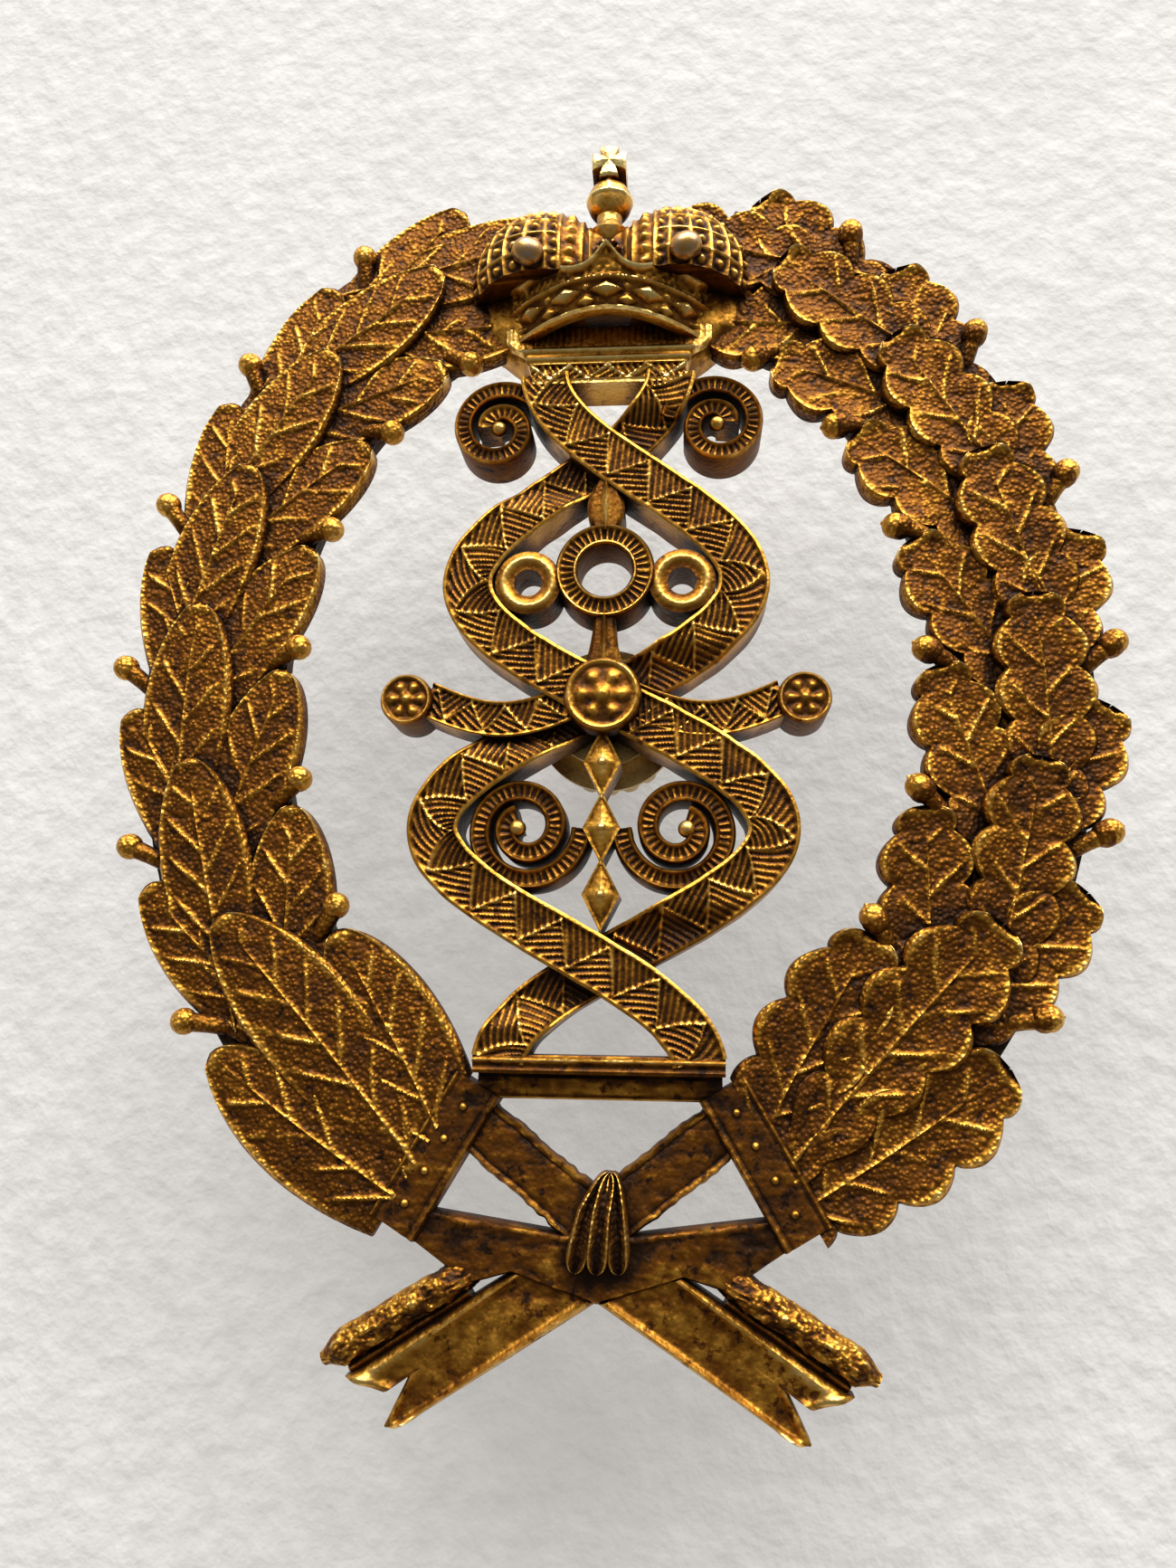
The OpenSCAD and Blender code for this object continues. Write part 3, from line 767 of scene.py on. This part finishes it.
def circlet_face(along, z, base, crest):
    """Relief and tone of the circlet between the heights of its lower and its upper rim."""
    up = z - base
    between = wrap(along + FRIEZE_PITCH / 2, FRIEZE_PITCH)
    beside = wrap(along, FRIEZE_PITCH)
    lozenge = np.clip(1 - np.abs(beside) / 0.85 - np.abs(up - 0.9) / 0.34, 0, 1)
    pyramid = np.clip(1 - np.abs(between) / 0.5 - np.abs(up - 0.5) / 0.3, 0, 1)
    dots = bump(np.hypot(between, up - 1.08), 0.12)
    rim_bead = 1 - smooth(up, 0.18, 0.28)
    arc_line = bump(up - 1.42, 0.09)
    edge_line = 1 - smooth(crest - z, 0.1, 0.26)
    field = smooth(up, 1.5, 1.6) * (1 - edge_line)
    ground = grain(along + 0 * z, z, 0.15, 8)
    raised = (0.36 * np.sqrt(lozenge) + 0.2 * np.sqrt(pyramid)) * (1 - rim_bead)
    lift = -0.22 + 0.22 * rim_bead + 0.2 * arc_line + 0.24 * edge_line + 0.16 * dots
    tone = 0.18 + 0.45 * rim_bead + 0.5 * arc_line + 0.6 * edge_line + 0.5 * dots
    return lift + raised + 0.05 * field * ground, tone + 1.8 * raised + field * (0.14 + 0.2 * ground)


def circlet(shell):
    """The circlet: beaded lower rim, lozenge frieze, stippled field and a scalloped upper edge."""
    scallop = 2.7
    a = full_turn(520)
    along = wrap(a, 2 * np.pi) * 5.6
    nearest = np.abs(wrap(along, scallop)) / (scallop / 2)
    crest = CIRCLET_Z - 0.22 + 0.62 * (1 - nearest) ** 2 + 0.3 * bump(along, 0.5)
    bow = 0.4 * bump(along, 3.0)
    base = CROWN_Z + bow
    z = base + (crest - base) * np.linspace(0, 1, 44)[:, None]
    lift, tone = circlet_face(along, z, base, crest)
    radius = CIRCLET_R + (CIRCLET_TOP_R - CIRCLET_R) * (z - base) / 2.5 + lift

    # Rings from the hollow underneath, over the lower rim and the face, to the closed top
    underside = [(0.02, 17.2, 0.3), (3.0, 17.2, 0.3), (4.35, 17.1, 0.3), (4.6, 16.55 + bow, 0.3),
                 (4.85, base, 0.6), (5.1, base - 0.02, 0.6)]
    top = [(radius[-1] - 0.28, crest - 0.03, 0.3), (radius[-1] - 0.5, crest - 0.3, 0.3),
           (0.02, CIRCLET_Z - 0.1, 0.2)]
    rings = [*underside, *zip(radius, z, tone), *top]
    r, h, tone = (np.array([np.broadcast_to(ring[k], a.shape) for ring in rings]) for k in (0, 1, 2))
    shell.loft(np.stack([r * np.sin(a), CIRCLET_BACK - r * np.cos(a), h], -1), tone)


def arch(shell):
    """The valley between the caps, with a small rosette."""
    rosette_up, reach = 1.3, 2.7

    def top(u, s, x, z):
        up = z - CIRCLET_Z
        far = np.hypot(x, up - rosette_up)
        petal = bump(far - 0.42, 0.14) * (0.5 + 0.5 * np.cos(6 * np.arctan2(up - rosette_up, x)))
        petal = petal + bump(far, 0.16)
        ridge = bump(np.abs(u) - 0.82, 0.12)
        h = 2.7 + 0.25 * np.abs(u) + 0.34 * petal + 0.16 * ridge - 0.5 * smooth(up, 1.9, reach) ** 2
        hollow = 0.3 * (1 - smooth(far, 0.6, 0.9))
        return h, 0.3 - hollow + 0.6 * petal + 0.35 * ridge + 0.08 * grain(x, z, 0.3)

    strip(shell, [(0, CIRCLET_Z - 0.3), (0, CIRCLET_Z + reach)], 1.0, top, across=25, back=4 * BACK_STEP)


def orb(shell):
    """The orb on its flared foot, with a belt and a half hoop."""
    foot_z = CIRCLET_Z + 2.6
    # The foot: how far forward, height and radius
    foot = [(1.6, -0.9, 0.4), (1.9, -0.45, 0.7), (2.1, -0.1, 0.85), (2.2, 0.1, 0.84), (2.2, 0.3, 0.6),
            (2.2, 0.5, 0.52), (2.2, 0.8, 0.6)]
    shell.rod([(0, -h, foot_z + up) for h, up, _ in foot], [r for *_, r in foot], 0.6, 32)
    lat = np.radians(np.linspace(-88, 88, 60))[:, None]
    lon = full_turn(80)[None]
    belt = bump(lat * 1.05, 0.1)
    hoop = bump(np.sin(lon) * np.cos(lat) * 1.05, 0.1) * (lat > 0)
    raised = np.maximum(belt, hoop)
    globe = np.array([0, -2.2, foot_z + 1.55]) + sphere_grid(lat, lon) * (1 + 0.06 * raised)[..., None]
    shell.loft(globe, 0.5 + 0.4 * raised)


def cross(shell):
    """A cross with four flared arms, ridged along the middle of each."""
    least, most = low("crown_cross"), high("crown_cross")
    half = (most[0] - least[0]) / 2
    centre = np.array([0, most[2] - half])

    def top(u, s, x, z):
        ridge = 1 - np.abs(u)
        return -least[1] - 0.1 + 0.1 * ridge - 0.08 * smooth(s, half - 0.1, half), 0.72 + 0.2 * ridge

    for angle in (0, 90, 180, 270):
        strip(shell, [centre, centre + unit(angle) * half], lambda f: 0.17 + 0.26 * f, top,
              across=9, back=-most[1])


def neck(shell):
    """The flared neck: a hatched band, two bright ridges and a finely hatched recess above them."""
    z = np.linspace(NECK_LOW, NECK_TOP, 44)[:, None]
    u = np.linspace(-1, 1, 110)[None]
    x = (3.4 + 0.25 * smooth(z, 14.9, 15.5) + 0.9 * smooth(z, 15.5, 16.5)) * u
    band_z, band_half = 14.85, 0.42
    drop, band_tone = zigzag((z - band_z) / band_half, x, band_half, 1.7)
    banded = 1 - smooth(z, 15.2, 15.3)
    ridges = bump(z - 15.45, 0.09) + bump(z - 15.85, 0.11)
    recess = smooth(z, 15.95, 16.1)
    hatch = 0.5 + 0.5 * np.cos(2 * np.pi * x / 0.27)
    h = WORK_TOP - 0.12 + banded * drop + 0.12 * ridges - recess * (0.26 - 0.05 * hatch)
    tone = banded * band_tone + (1 - banded) * (0.3 + 0.55 * ridges) + recess * (0.15 + 0.2 * hatch)
    shell.relief(x, z + 0 * x, h + rounded(u, 0.03, 0.1), tone, back=2 * BACK_STEP)
    for side in (-1, 1):
        shoulder(shell, side)


def shoulder(shell, side):
    """A sloping, brushed side of the crown, from the neck out to a cap."""
    root = 3.35
    outline_z = [15.2, 15.9, 16.6, 17.3, CIRCLET_Z]
    outline_x = [3.5, 4.4, 5.2, 6.1, 6.3]
    u = np.linspace(0, 1, 25)[None]
    z = np.linspace(outline_z[0], CIRCLET_Z + 0.05, 60)[:, None] + 0 * u
    x = root + (np.interp(z, outline_z, outline_x) - root) * u
    brushed = worn(x * 2.5, z * 0.7, 4 + side)
    h = 1.95 - u ** 2 + 0.035 * brushed - 0.3 * smooth(u, 0.9, 1)
    shell.relief(side * x, z, h, 0.34 + 0.16 * brushed, back=3 * BACK_STEP)


def cabochons(shell):
    """The two worn oval stones, one on each cap."""
    for side in (-1, 1):
        shell.ball((side * 3.4, -3.98, CAP_Z - 0.2), 0.62, 0.5, 24, (0.96, 0, 0.28 * side), 1.15)


def crown():
    floor = ((0, 0, CIRCLET_Z - 0.3), (0, 0, -1))
    back, cap_back = [((0, -depth, 0), (0, 1, 0)) for depth in (0, BACK_STEP)]
    for side, name in SIDES:
        inside = ((side * 0.85, 0, 0), (-side, 0, 0))
        piece(f"crown_cap_{name}", BRIGHT_GILT, cap, cuts=[floor, cap_back, inside], flip=side < 0)
    piece("crown_circlet", BRIGHT_GILT, circlet, cuts=[back])
    for draw in (arch, orb, cross, neck):
        piece(f"crown_{draw.__name__}", BRIGHT_GILT, draw)
    piece("crown_cabochons", WORN, cabochons, slot="worn_gilt")


# ---- centre ornament ----

def strand_x(z):
    """Distance of a strand's middle from the centre line at height z."""
    u = z + CROSSING / 2
    return (REACH - u * u * np.where(u > 0, 0.0093, 0.029)) * np.sin(np.pi * z / CROSSING)


def strand(shell, side):
    """A wide hatched strand; it sinks where the other strand crosses in front of it, and its colour is
    painted darker there as shade.
    """
    z = np.linspace(14.75, -14.6, 240)
    under = (0,) if side > 0 else (-CROSSING, CROSSING)

    def top(u, s, x, z):
        drop, tone = zigzag(u, s, STRAND_W / 2)
        sink_and_shade = sum(1 - smooth(np.abs(z - level), 1.3, 2.6) for level in under)
        # Painted shade: the tone is darkened where the strand passes under the other one
        return WORK_TOP - 0.06 + drop - 0.55 * sink_and_shade, tone - 0.12 * sink_and_shade

    def half(f):
        return STRAND_W / 2 * (1 + 0.02 * grain(f * 60, f * 0, 1.0, side + 3))

    strip(shell, np.stack([side * strand_x(z), z], -1), half, top, across=33, back=BACK_STEP * (side > 0))


def volute(centre, outer, inner, start, sweep):
    """A spiral path from its outer to its inner radius; the angles are in degrees."""
    f = np.linspace(0, 1, 120)
    a = np.radians(start + sweep * f)
    r = outer + (inner - outer) * f
    return np.stack([centre[0] + r * np.cos(a), centre[1] + r * np.sin(a)], -1)


def scroll(shell, path, width, top_h):
    """A fluted band that swells a little at its eye."""

    def top(u, s, x, z):
        drop, tone = fluted(u, s)
        return top_h + drop, tone

    strip(shell, path, lambda f: width / 2 * (1 + 0.25 * smooth(f, 0.9, 1)), top, across=17,
          back=2 * BACK_STEP)


def inner_scroll(shell):
    """A spiral in the lower opening, with a ball in its eye."""
    x, z = 3.15, -CROSSING / 2
    scroll(shell, volute((x, z), 2.35, 0.55, 180, 600), 0.85, WORK_TOP - 0.2)
    shell.ball(at((x + 0.28, z), WORK_TOP - 0.45), 0.36, 0.75, 16)


def neck_scrolls(shell):
    """A spiral on each side of the strands' upper ends."""
    x, z = 4.75, 12.3
    for side in (-1, 1):
        scroll(shell, volute((x, z), 2.1, 0.5, 170, -520) * [side, 1], 0.8, WORK_TOP - 0.2)
        shell.ball(at((side * x, z), WORK_TOP - 0.45), 0.34, 0.75, 16)


def ring_finial(shell):
    """A fluted ring with two ringlets, a leaf-shaped bud above and a flared foot below."""
    ring_z = CROSSING / 2 + 0.1
    ring_out, ring_in = 2.1, 1.15

    def fluting(f, a, x, z):
        drop, tone = fluted((f - 0.775) / 0.225, a * 1.6)
        return WORK_TOP - 0.02 + drop, tone

    def ringlet(f, a, x, z):
        ridge = bump(f - 0.75, 0.13)
        return WORK_TOP - 0.2 + 0.15 * ridge, 0.3 + 0.5 * ridge

    def bud(u, s, x, z):
        rib = bump(u, 0.16)
        return WORK_TOP - 0.2 + 0.2 * rib + rounded(u, 0.3, 0.15), 0.35 + 0.5 * rib

    def bud_half(f):
        return np.maximum(0.8 * np.sin(np.pi * (0.18 + 0.82 * f)) ** 0.9, 0.04)

    disc(shell, (0, ring_z), ring_out, fluting, inner=ring_in, gap=0.05, back=3 * BACK_STEP)
    for side in (-1, 1):
        disc(shell, (side * 3.25, ring_z - 0.5), 1.4, ringlet, inner=0.6, gap=0.06, back=4 * BACK_STEP)
    for path, half in (([(0, ring_z + 1.8), (0, ring_z + 4.6)], bud_half),
                       ([(0, ring_z - 1.8), (0, 0.6)], lambda f: 0.45 + 0.65 * f ** 2)):
        strip(shell, path, half, bud, across=15, back=5 * BACK_STEP)


def lozenge_chain(shell):
    """Three faceted lozenges with a pip on each, hanging in the lower opening."""
    half_w, half_h = 0.78, 1.55
    for k in (-1, 0, 1):
        middle = -CROSSING / 2 + 2.7 * k

        def facets(u, s, x, z):
            peak = np.clip(1 - np.abs(x) / half_w - np.abs(z - middle) / half_h, 0, 1)
            inset = smooth(peak, 0.12, 0.22)
            return WORK_TOP - 0.3 + 0.12 * (1 - inset) + 0.34 * peak * inset, 0.6 - 0.3 * inset + 0.6 * peak

        strip(shell, [(0, middle - 1.5), (0, middle + 1.5)],
              lambda f: np.maximum(0.76 * (1 - np.abs(2 * f - 1)), 0.04), facets, across=15,
              back=(5 + k) * BACK_STEP)
        shell.ball(at((0, middle), WORK_TOP - 0.12), 0.2, 0.85, 12)


def side_arm(shell, side):
    """A curved arm with the same zigzag as the strands, running out to its rosette."""
    x = np.linspace(1, ARM_END, 60)
    path = np.stack([x, -0.9 * np.sin(np.pi * (x - 1) / (ARM_END - 1))], -1)

    def top(u, s, x, z):
        drop, tone = zigzag(u, s, ARM_HALF, 1.6)
        return WORK_TOP - 0.16 + drop, tone

    strip(shell, path, ARM_HALF, top, across=25, back=(5 + side) * BACK_STEP)


def rosette(level, dish=0.0):
    """A disc's face: six petals round a pip, inside a raised ring, on a ground that may be dished."""

    def top(f, a, x, z):
        ring = bump(f - 0.88, 0.09)
        petal = (0.5 + 0.5 * np.cos(6 * a)) * bump(f - 0.52, 0.18)
        pip = bump(f, 0.22)
        h = -0.2 + 0.17 * ring + 0.16 * petal + 0.26 * pip - 0.1 * smooth(f, 0.96, 1)
        return level + h - dish * f ** 2, 0.22 + 0.5 * ring + 0.45 * petal + 0.5 * pip

    return top


def rosette_discs(shell):
    for side in (-1, 1):
        disc(shell, (side * 8.2, -0.1), 1.1, rosette(WORK_TOP + 0.2), gap=0.05, back=BACK_STEP)


def centre_boss(shell):
    disc(shell, (0, 0), 1.6, rosette(BOSS_TOP - 0.05, dish=0.15), back=WORK_TOP - 0.5, gap=0.06)


def ledge(shell):
    """The moulded ledge that carries the ornament."""
    half = high("ledge")[0]
    middle = (LEDGE_TOP + LEDGE_LOW) / 2

    def top(u, s, x, z):
        bead = bump(u - 0.45, 0.35)
        step = bump(u + 0.62, 0.2)
        h = WORK_TOP - 0.22 + 0.22 * bead + 0.06 * step
        return h + 0.02 * worn(x, z), 0.26 + 0.5 * bead + 0.06 * step + 0.12 * worn(x, z)

    strip(shell, [(-half, middle), (half, middle)], (LEDGE_TOP - LEDGE_LOW) / 2, top, across=17,
          back=3 * BACK_STEP)


def centre():
    for side, name in SIDES:
        piece(f"strand_{name}", WORK_GILT, strand, side)
        piece(f"inner_scroll_{name}", WORK_GILT, inner_scroll, flip=side < 0)
        piece(f"side_arm_{name}", WORK_GILT, side_arm, side, flip=side < 0)
    for draw in (ring_finial, lozenge_chain, neck_scrolls, centre_boss, ledge, rosette_discs):
        piece(draw.__name__, WORK_GILT, draw)


# ---- lower frame ----

STRAP_OUT = rim(STRAP_T, STRAP_REACH)
STRAP_IN = rim(STRAP_T, -STRAP_REACH)
STRAP_STEP = -STRAP_W * unit(heading(STRAP_T))


def worn_face(level, seed, lines=True, depth=0.035, shade=0.33):
    """Height and tone of a flat, pitted face, with or without lines along its edges."""

    def top(u, s, x, z):
        dents = worn(x, z, seed)
        scratches = grain(x + z * 0.4, z * 6, 0.8, seed + 9)
        line_h, line_t = lined(u) if lines else (0, 0)
        h = level - 0.05 + depth * dents + 0.015 * scratches + line_h + rounded(u, 0.08, 0.12)
        return h, shade + 0.18 * dents + 0.1 * scratches + line_t + 0.2 * smooth(np.abs(u), 0.93, 1)

    return top


def strap(shell):
    """A flat strap across the branch, with engraved edges and a row of pips."""
    inner, outer = STRAP_IN + STRAP_STEP / 2, STRAP_OUT + STRAP_STEP / 2
    strip(shell, [inner, outer], STRAP_W / 2, worn_face(STRAP_TOP, 3), gap=0.09, across=27)
    for k in range(4):
        pip = inner + (outer - inner) * (0.16 + 0.225 * k)
        shell.ball(at(pip, STRAP_TOP - 0.06), 0.17, 0.7, 12)


def crossbar(shell):
    """The plain bar under the ledge, from strap to strap."""
    foot = STRAP_IN + STRAP_STEP
    top = LEDGE_LOW + 0.05
    middle, reach = (top + foot[1]) / 2, (STRAP_IN[0] + foot[0]) / 2
    strip(shell, [(-reach, middle), (reach, middle)], (top - foot[1]) / 2,
          worn_face(FRAME_TOP, 7, shade=0.5), gap=0.09, across=25, back=2 * BACK_STEP)


def crossed_stems(shell):
    """Two flat stems with rough edges that lean together under the knot."""
    for side in (-1, 1):
        strip(shell, [(side * 5.7, -16.45), (side * 0.3, -20.6)],
              lambda f: 1.07 + 0.06 * grain(f * 24, 0 * f, 1.0, side),
              worn_face(FRAME_TOP - 0.04, 11 + side), gap=0.09, across=23, back=(5 + side) * BACK_STEP)


def ribbon_band(shell):
    """The wide flat fold behind the knot, its ends at the straps and its lower edge in two shallow bays."""
    u = np.linspace(-1, 1, 27)[None]
    x = np.linspace(-1, 1, 150)[:, None] * (6.83 - 0.34 * u)
    upper = np.interp(np.abs(x), [0, 1.3, 7.11], [-20.9, -21.1, -20.3])
    lower = np.interp(np.abs(x), [0, 3.3, 4.9, 5.7, 7.11], [-23.6, -22.55, -23.0, -22.5, -21.55])
    z = (upper + lower) / 2 + (upper - lower) / 2 * u
    h, tone = worn_face(FRAME_TOP - 0.02, 5, lines=False, depth=0.05)(u, x, x, z)
    edge = bump(u - 0.82, 0.1)
    shell.relief(x, z, h + 0.05 * edge, tone + 0.25 * edge - 0.1 * u, back=BACK_STEP)


def knot_half(f):
    """Half width of a finger of the knot: round ends, and wider towards its foot."""
    return 0.47 * np.sqrt(np.clip(1 - (2 * f - 1) ** 6, 0.02, 1)) * (0.7 + 0.4 * f)


def ribbon_knot(shell):
    """Three finger-like folds side by side, each outlined by a bright ridge."""
    for side in (-1, 1, 0):
        stand = (KNOT_TOP - FRAME_TOP) * (0.8 + 0.2 * (side == 0))

        def top(u, s, x, z):
            rise = np.sin(np.pi * np.clip(0.08 + s / s[-1] * 0.84, 0, 1)) ** 0.5
            outline = bump(np.abs(u) - 0.72, 0.16)
            valley = bump(u, 0.3)
            edge = smooth(np.abs(u), 0.8, 1)
            h = FRAME_TOP - 0.06 + stand * rise + 0.08 * outline - 0.14 * valley - 0.35 * edge
            return h, 0.3 + 0.5 * outline - 0.1 * valley + 0.1 * worn(x, z)

        path = [(0.5 + side * 0.1, -18.75), (0.2 + side * 0.55, -20.2), (side * 0.85, -22.4)]
        strip(shell, path, knot_half, top, across=19, back=FRAME_TOP - 0.4)


def ribbon_tail(shell, side):
    """A forked ribbon end with rolled borders round a flat pitted field."""
    v = np.linspace(0, 1, 34)[None]
    start_x, start_z = 0.05 + 3.25 * v, -23.6 + 1.05 * v
    end_x = np.interp(v, [0, 0.2, 0.5, 0.78, 1], [7.2, 8.0, 7.1, 8.0, 9.6])
    end_z = np.interp(v, [0, 0.2, 0.5, 0.78, 1], [-28.1, -28.2, -26.35, -27.0, -26.5])
    f = np.linspace(0, 1, 92)[:, None]
    x = start_x + (end_x - start_x) * f
    z = start_z + (end_z - start_z) * f
    u = 2 * v - 1 + 0 * x
    roll = bump(np.abs(u) - 0.85, 0.1)
    hem = bump((f - 0.965) * 9, 0.3)
    pits = worn(x, z, 6)
    wave = 0.09 * np.sin(f * 5.2 + side)
    h = FRAME_TOP - 0.28 + 0.25 * roll + 0.16 * hem + 0.045 * pits + wave * (1 - f)
    tone = 0.54 + 0.3 * roll + 0.2 * hem + 0.2 * pits
    shell.slab(x, z, h + rounded(u, 0.06, 0.15), tone, back=2 * BACK_STEP)

    def fold(u, s, x, z):
        return FRAME_TOP - 0.3 + 0.2 * bump(u, 0.4), 0.3 + 0.35 * bump(u, 0.4)

    strip(shell, [(4.9, -23.35), (9.4, -26.2)], 0.3, fold, across=11, back=3 * BACK_STEP)


def stem_end(shell):
    """A round stem end with bark ridges and a blunt, cut tip."""
    length, hidden, radius, lean = 6.0, 1.1, 0.65, math.radians(121)
    s = np.linspace(-hidden, length, 100)
    points = np.array([5.35, -0.7, -22.85]) + np.outer(s, [math.sin(lean), 0, math.cos(lean)])
    points[:, 1] += 0.55 * (1 - smooth(s, -hidden, 0.4))
    a = full_turn(48)[None]
    s = s[:, None]
    bark = grain(s + a * 0.25, a * 0.9 + 0 * s, 0.38, 3) + 0.6 * grain(s, a * 1.3, 0.17, 6)
    taper = 0.7 + 0.3 * smooth(s, -hidden, 0.3) - 0.6 * smooth(s, length - 0.9, length)
    shell.rod(points, np.minimum(radius * taper * (1 + 0.1 * bark), 0.7), 0.48 + 0.3 * bark, 48)


def lower_frame():
    for side, name in SIDES:
        piece(f"strap_{name}", DARK_GILT, strap, flip=side < 0)
        piece(f"ribbon_tail_{name}", DARK_GILT, ribbon_tail, side, flip=side < 0)
        piece(f"stem_end_{name}", LEAF_GILT, stem_end, slot="dark_gilt", flip=side < 0)
    for draw in (crossbar, crossed_stems, ribbon_band):
        piece(draw.__name__, DARK_GILT, draw, slot="dark_gilt")
    piece("ribbon_knot", LEAF_GILT, ribbon_knot)


# ---- screw fixing ----

def screw_post(shell):
    """The threaded post, plain at its root and at its pilot."""
    pilot_r, pilot_y, pitch, groove_depth = 1.25, POST_END - 1.1, 0.5, 0.14
    y = np.linspace(0, POST_END, 300)[:, None]
    a = full_turn(48)[None]
    groove = np.abs(2 * ((y / pitch - a / (2 * np.pi)) % 1) - 1)
    threaded = smooth(y, PLATE_T + 0.3, PLATE_T + 0.6) * (1 - smooth(y, pilot_y - 0.4, pilot_y))
    body = POST_R - 0.02 - groove_depth * groove * threaded
    pilot = smooth(y, pilot_y - 0.05, pilot_y)
    radius = body * (1 - pilot) + pilot_r * pilot - 0.25 * smooth(y, POST_END - 0.25, POST_END)
    shell.loft(np.stack([radius * np.cos(a), y + 0 * a, radius * np.sin(a)], -1), 0.5)


def post_plate(shell):
    """The thin plate that holds the post, thinner towards its edge."""

    def top(f, a, x, z):
        return PLATE_T - 0.3 * smooth(f, 0.7, 1) + 0.03 * worn(x, z), 0.5

    disc(shell, (0, 0), PLATE_R, top, gap=0.09, facing=1)


def turned_ring(shell, node, edge, outline=None):
    """A bored disc where a CAD node lies behind the back face, rounded on its far side."""
    outer, far = high(node)[:2]

    def top(f, a, x, z):
        inside = 1 - smooth(f * outer, BORE_R, BORE_R + edge)
        return far - edge * smooth(f * outer, outer - edge, outer) - edge * inside, 0.5

    disc(shell, (0, 0), outer, top, back=low(node)[1], inner=BORE_R, gap=0.09, outline=outline, facing=1)


def knurled(a):
    """Outline of the nut, as a share of its radius: 18 notches round it."""
    return 1 - 0.07 * bump(wrap(a, np.radians(20)), 0.07)


def fixing():
    slot = "fixing_brass"
    piece("screw_post", BRASS, screw_post, slot=slot)
    piece("post_plate", BRASS, post_plate, slot=slot)
    piece("washer", BRASS, turned_ring, "washer", 0.08, slot=slot, body="washer")
    piece("nut", BRASS, turned_ring, "nut", 0.25, knurled, slot=slot, body="nut")


# ---- surroundings ----

def backdrop():
    """Pale paper behind the badge, square to it."""
    wide, far = 0.6, cad_box[1].y + 0.0005
    mesh = bpy.data.meshes.new("paper_sheet")
    corners = [(-wide, far, -wide), (wide, far, -wide), (wide, far, wide), (-wide, far, wide)]
    mesh.from_pydata(corners, [], [(0, 1, 2, 3)])
    mesh.materials.append(paper())
    add_object("paper_sheet", mesh)


def lamp(name, place, size, power, colour=(1, 1, 1)):
    """A rectangular lamp aimed at the badge."""
    light = bpy.data.lights.new(name, "AREA")
    light.shape = "RECTANGLE"
    light.size, light.size_y = size
    light.energy = power
    light.color = colour
    obj = add_object(name, light)
    obj.location = Vector(place)
    obj.rotation_mode = "QUATERNION"
    obj.rotation_quaternion = (-Vector(place)).to_track_quat("-Z", "Y")


def lights():
    """A broad soft window above, in a room that is dim in front of the badge and lighter overhead."""
    lamp("window", (0.15, -0.6, 1.0), (1.7, 0.8), 30.0, (1.0, 0.98, 0.95))
    lamp("behind", (0.1, 0.4, 0.3), (0.3, 0.3), 0.8)
    world = bpy.data.worlds.new("room")
    n = Nodes(world)
    up = n.add("ShaderNodeSeparateXYZ", {0: n.coordinates["Generated"]}).outputs["Z"]
    shades = ((0.0, 0.16), (0.5, 0.24), (0.72, 0.55), (1.0, 1.1))
    stops = [(place, (shade, shade * 0.97, shade * 0.93)) for place, shade in shades]
    n.feed(n.ramp(n.spread(up, 0.0, 1.0, -1.0, 1.0), stops), n.tree.nodes["Background"].inputs["Color"])
    bpy.context.scene.world = world


def camera():
    """A wide lens close to the badge, a little below its middle and looking slightly upwards."""
    place = Vector((3.1, -47.2, -13.07)) * MM
    right = Vector((0.9969, 0.0774, 0.0164)).normalized()
    forward = Vector((-0.0791, 0.9759, 0.2033)).normalized()
    up = right.cross(forward).normalized()
    lens = bpy.data.cameras.new("camera")
    lens.sensor_width = 36
    lens.lens = 26.2
    lens.clip_start, lens.clip_end = 0.001, 10
    obj = add_object("camera", lens)
    columns = (*right, 0), (*up, 0), (*-forward, 0), (*place, 1)
    obj.matrix_world = Matrix(columns).transposed()
    bpy.context.scene.camera = obj


camera()
lights()
backdrop()
wreath()
crown()
centre()
lower_frame()
fixing()
bpy.context.scene.view_settings.view_transform = "Standard"
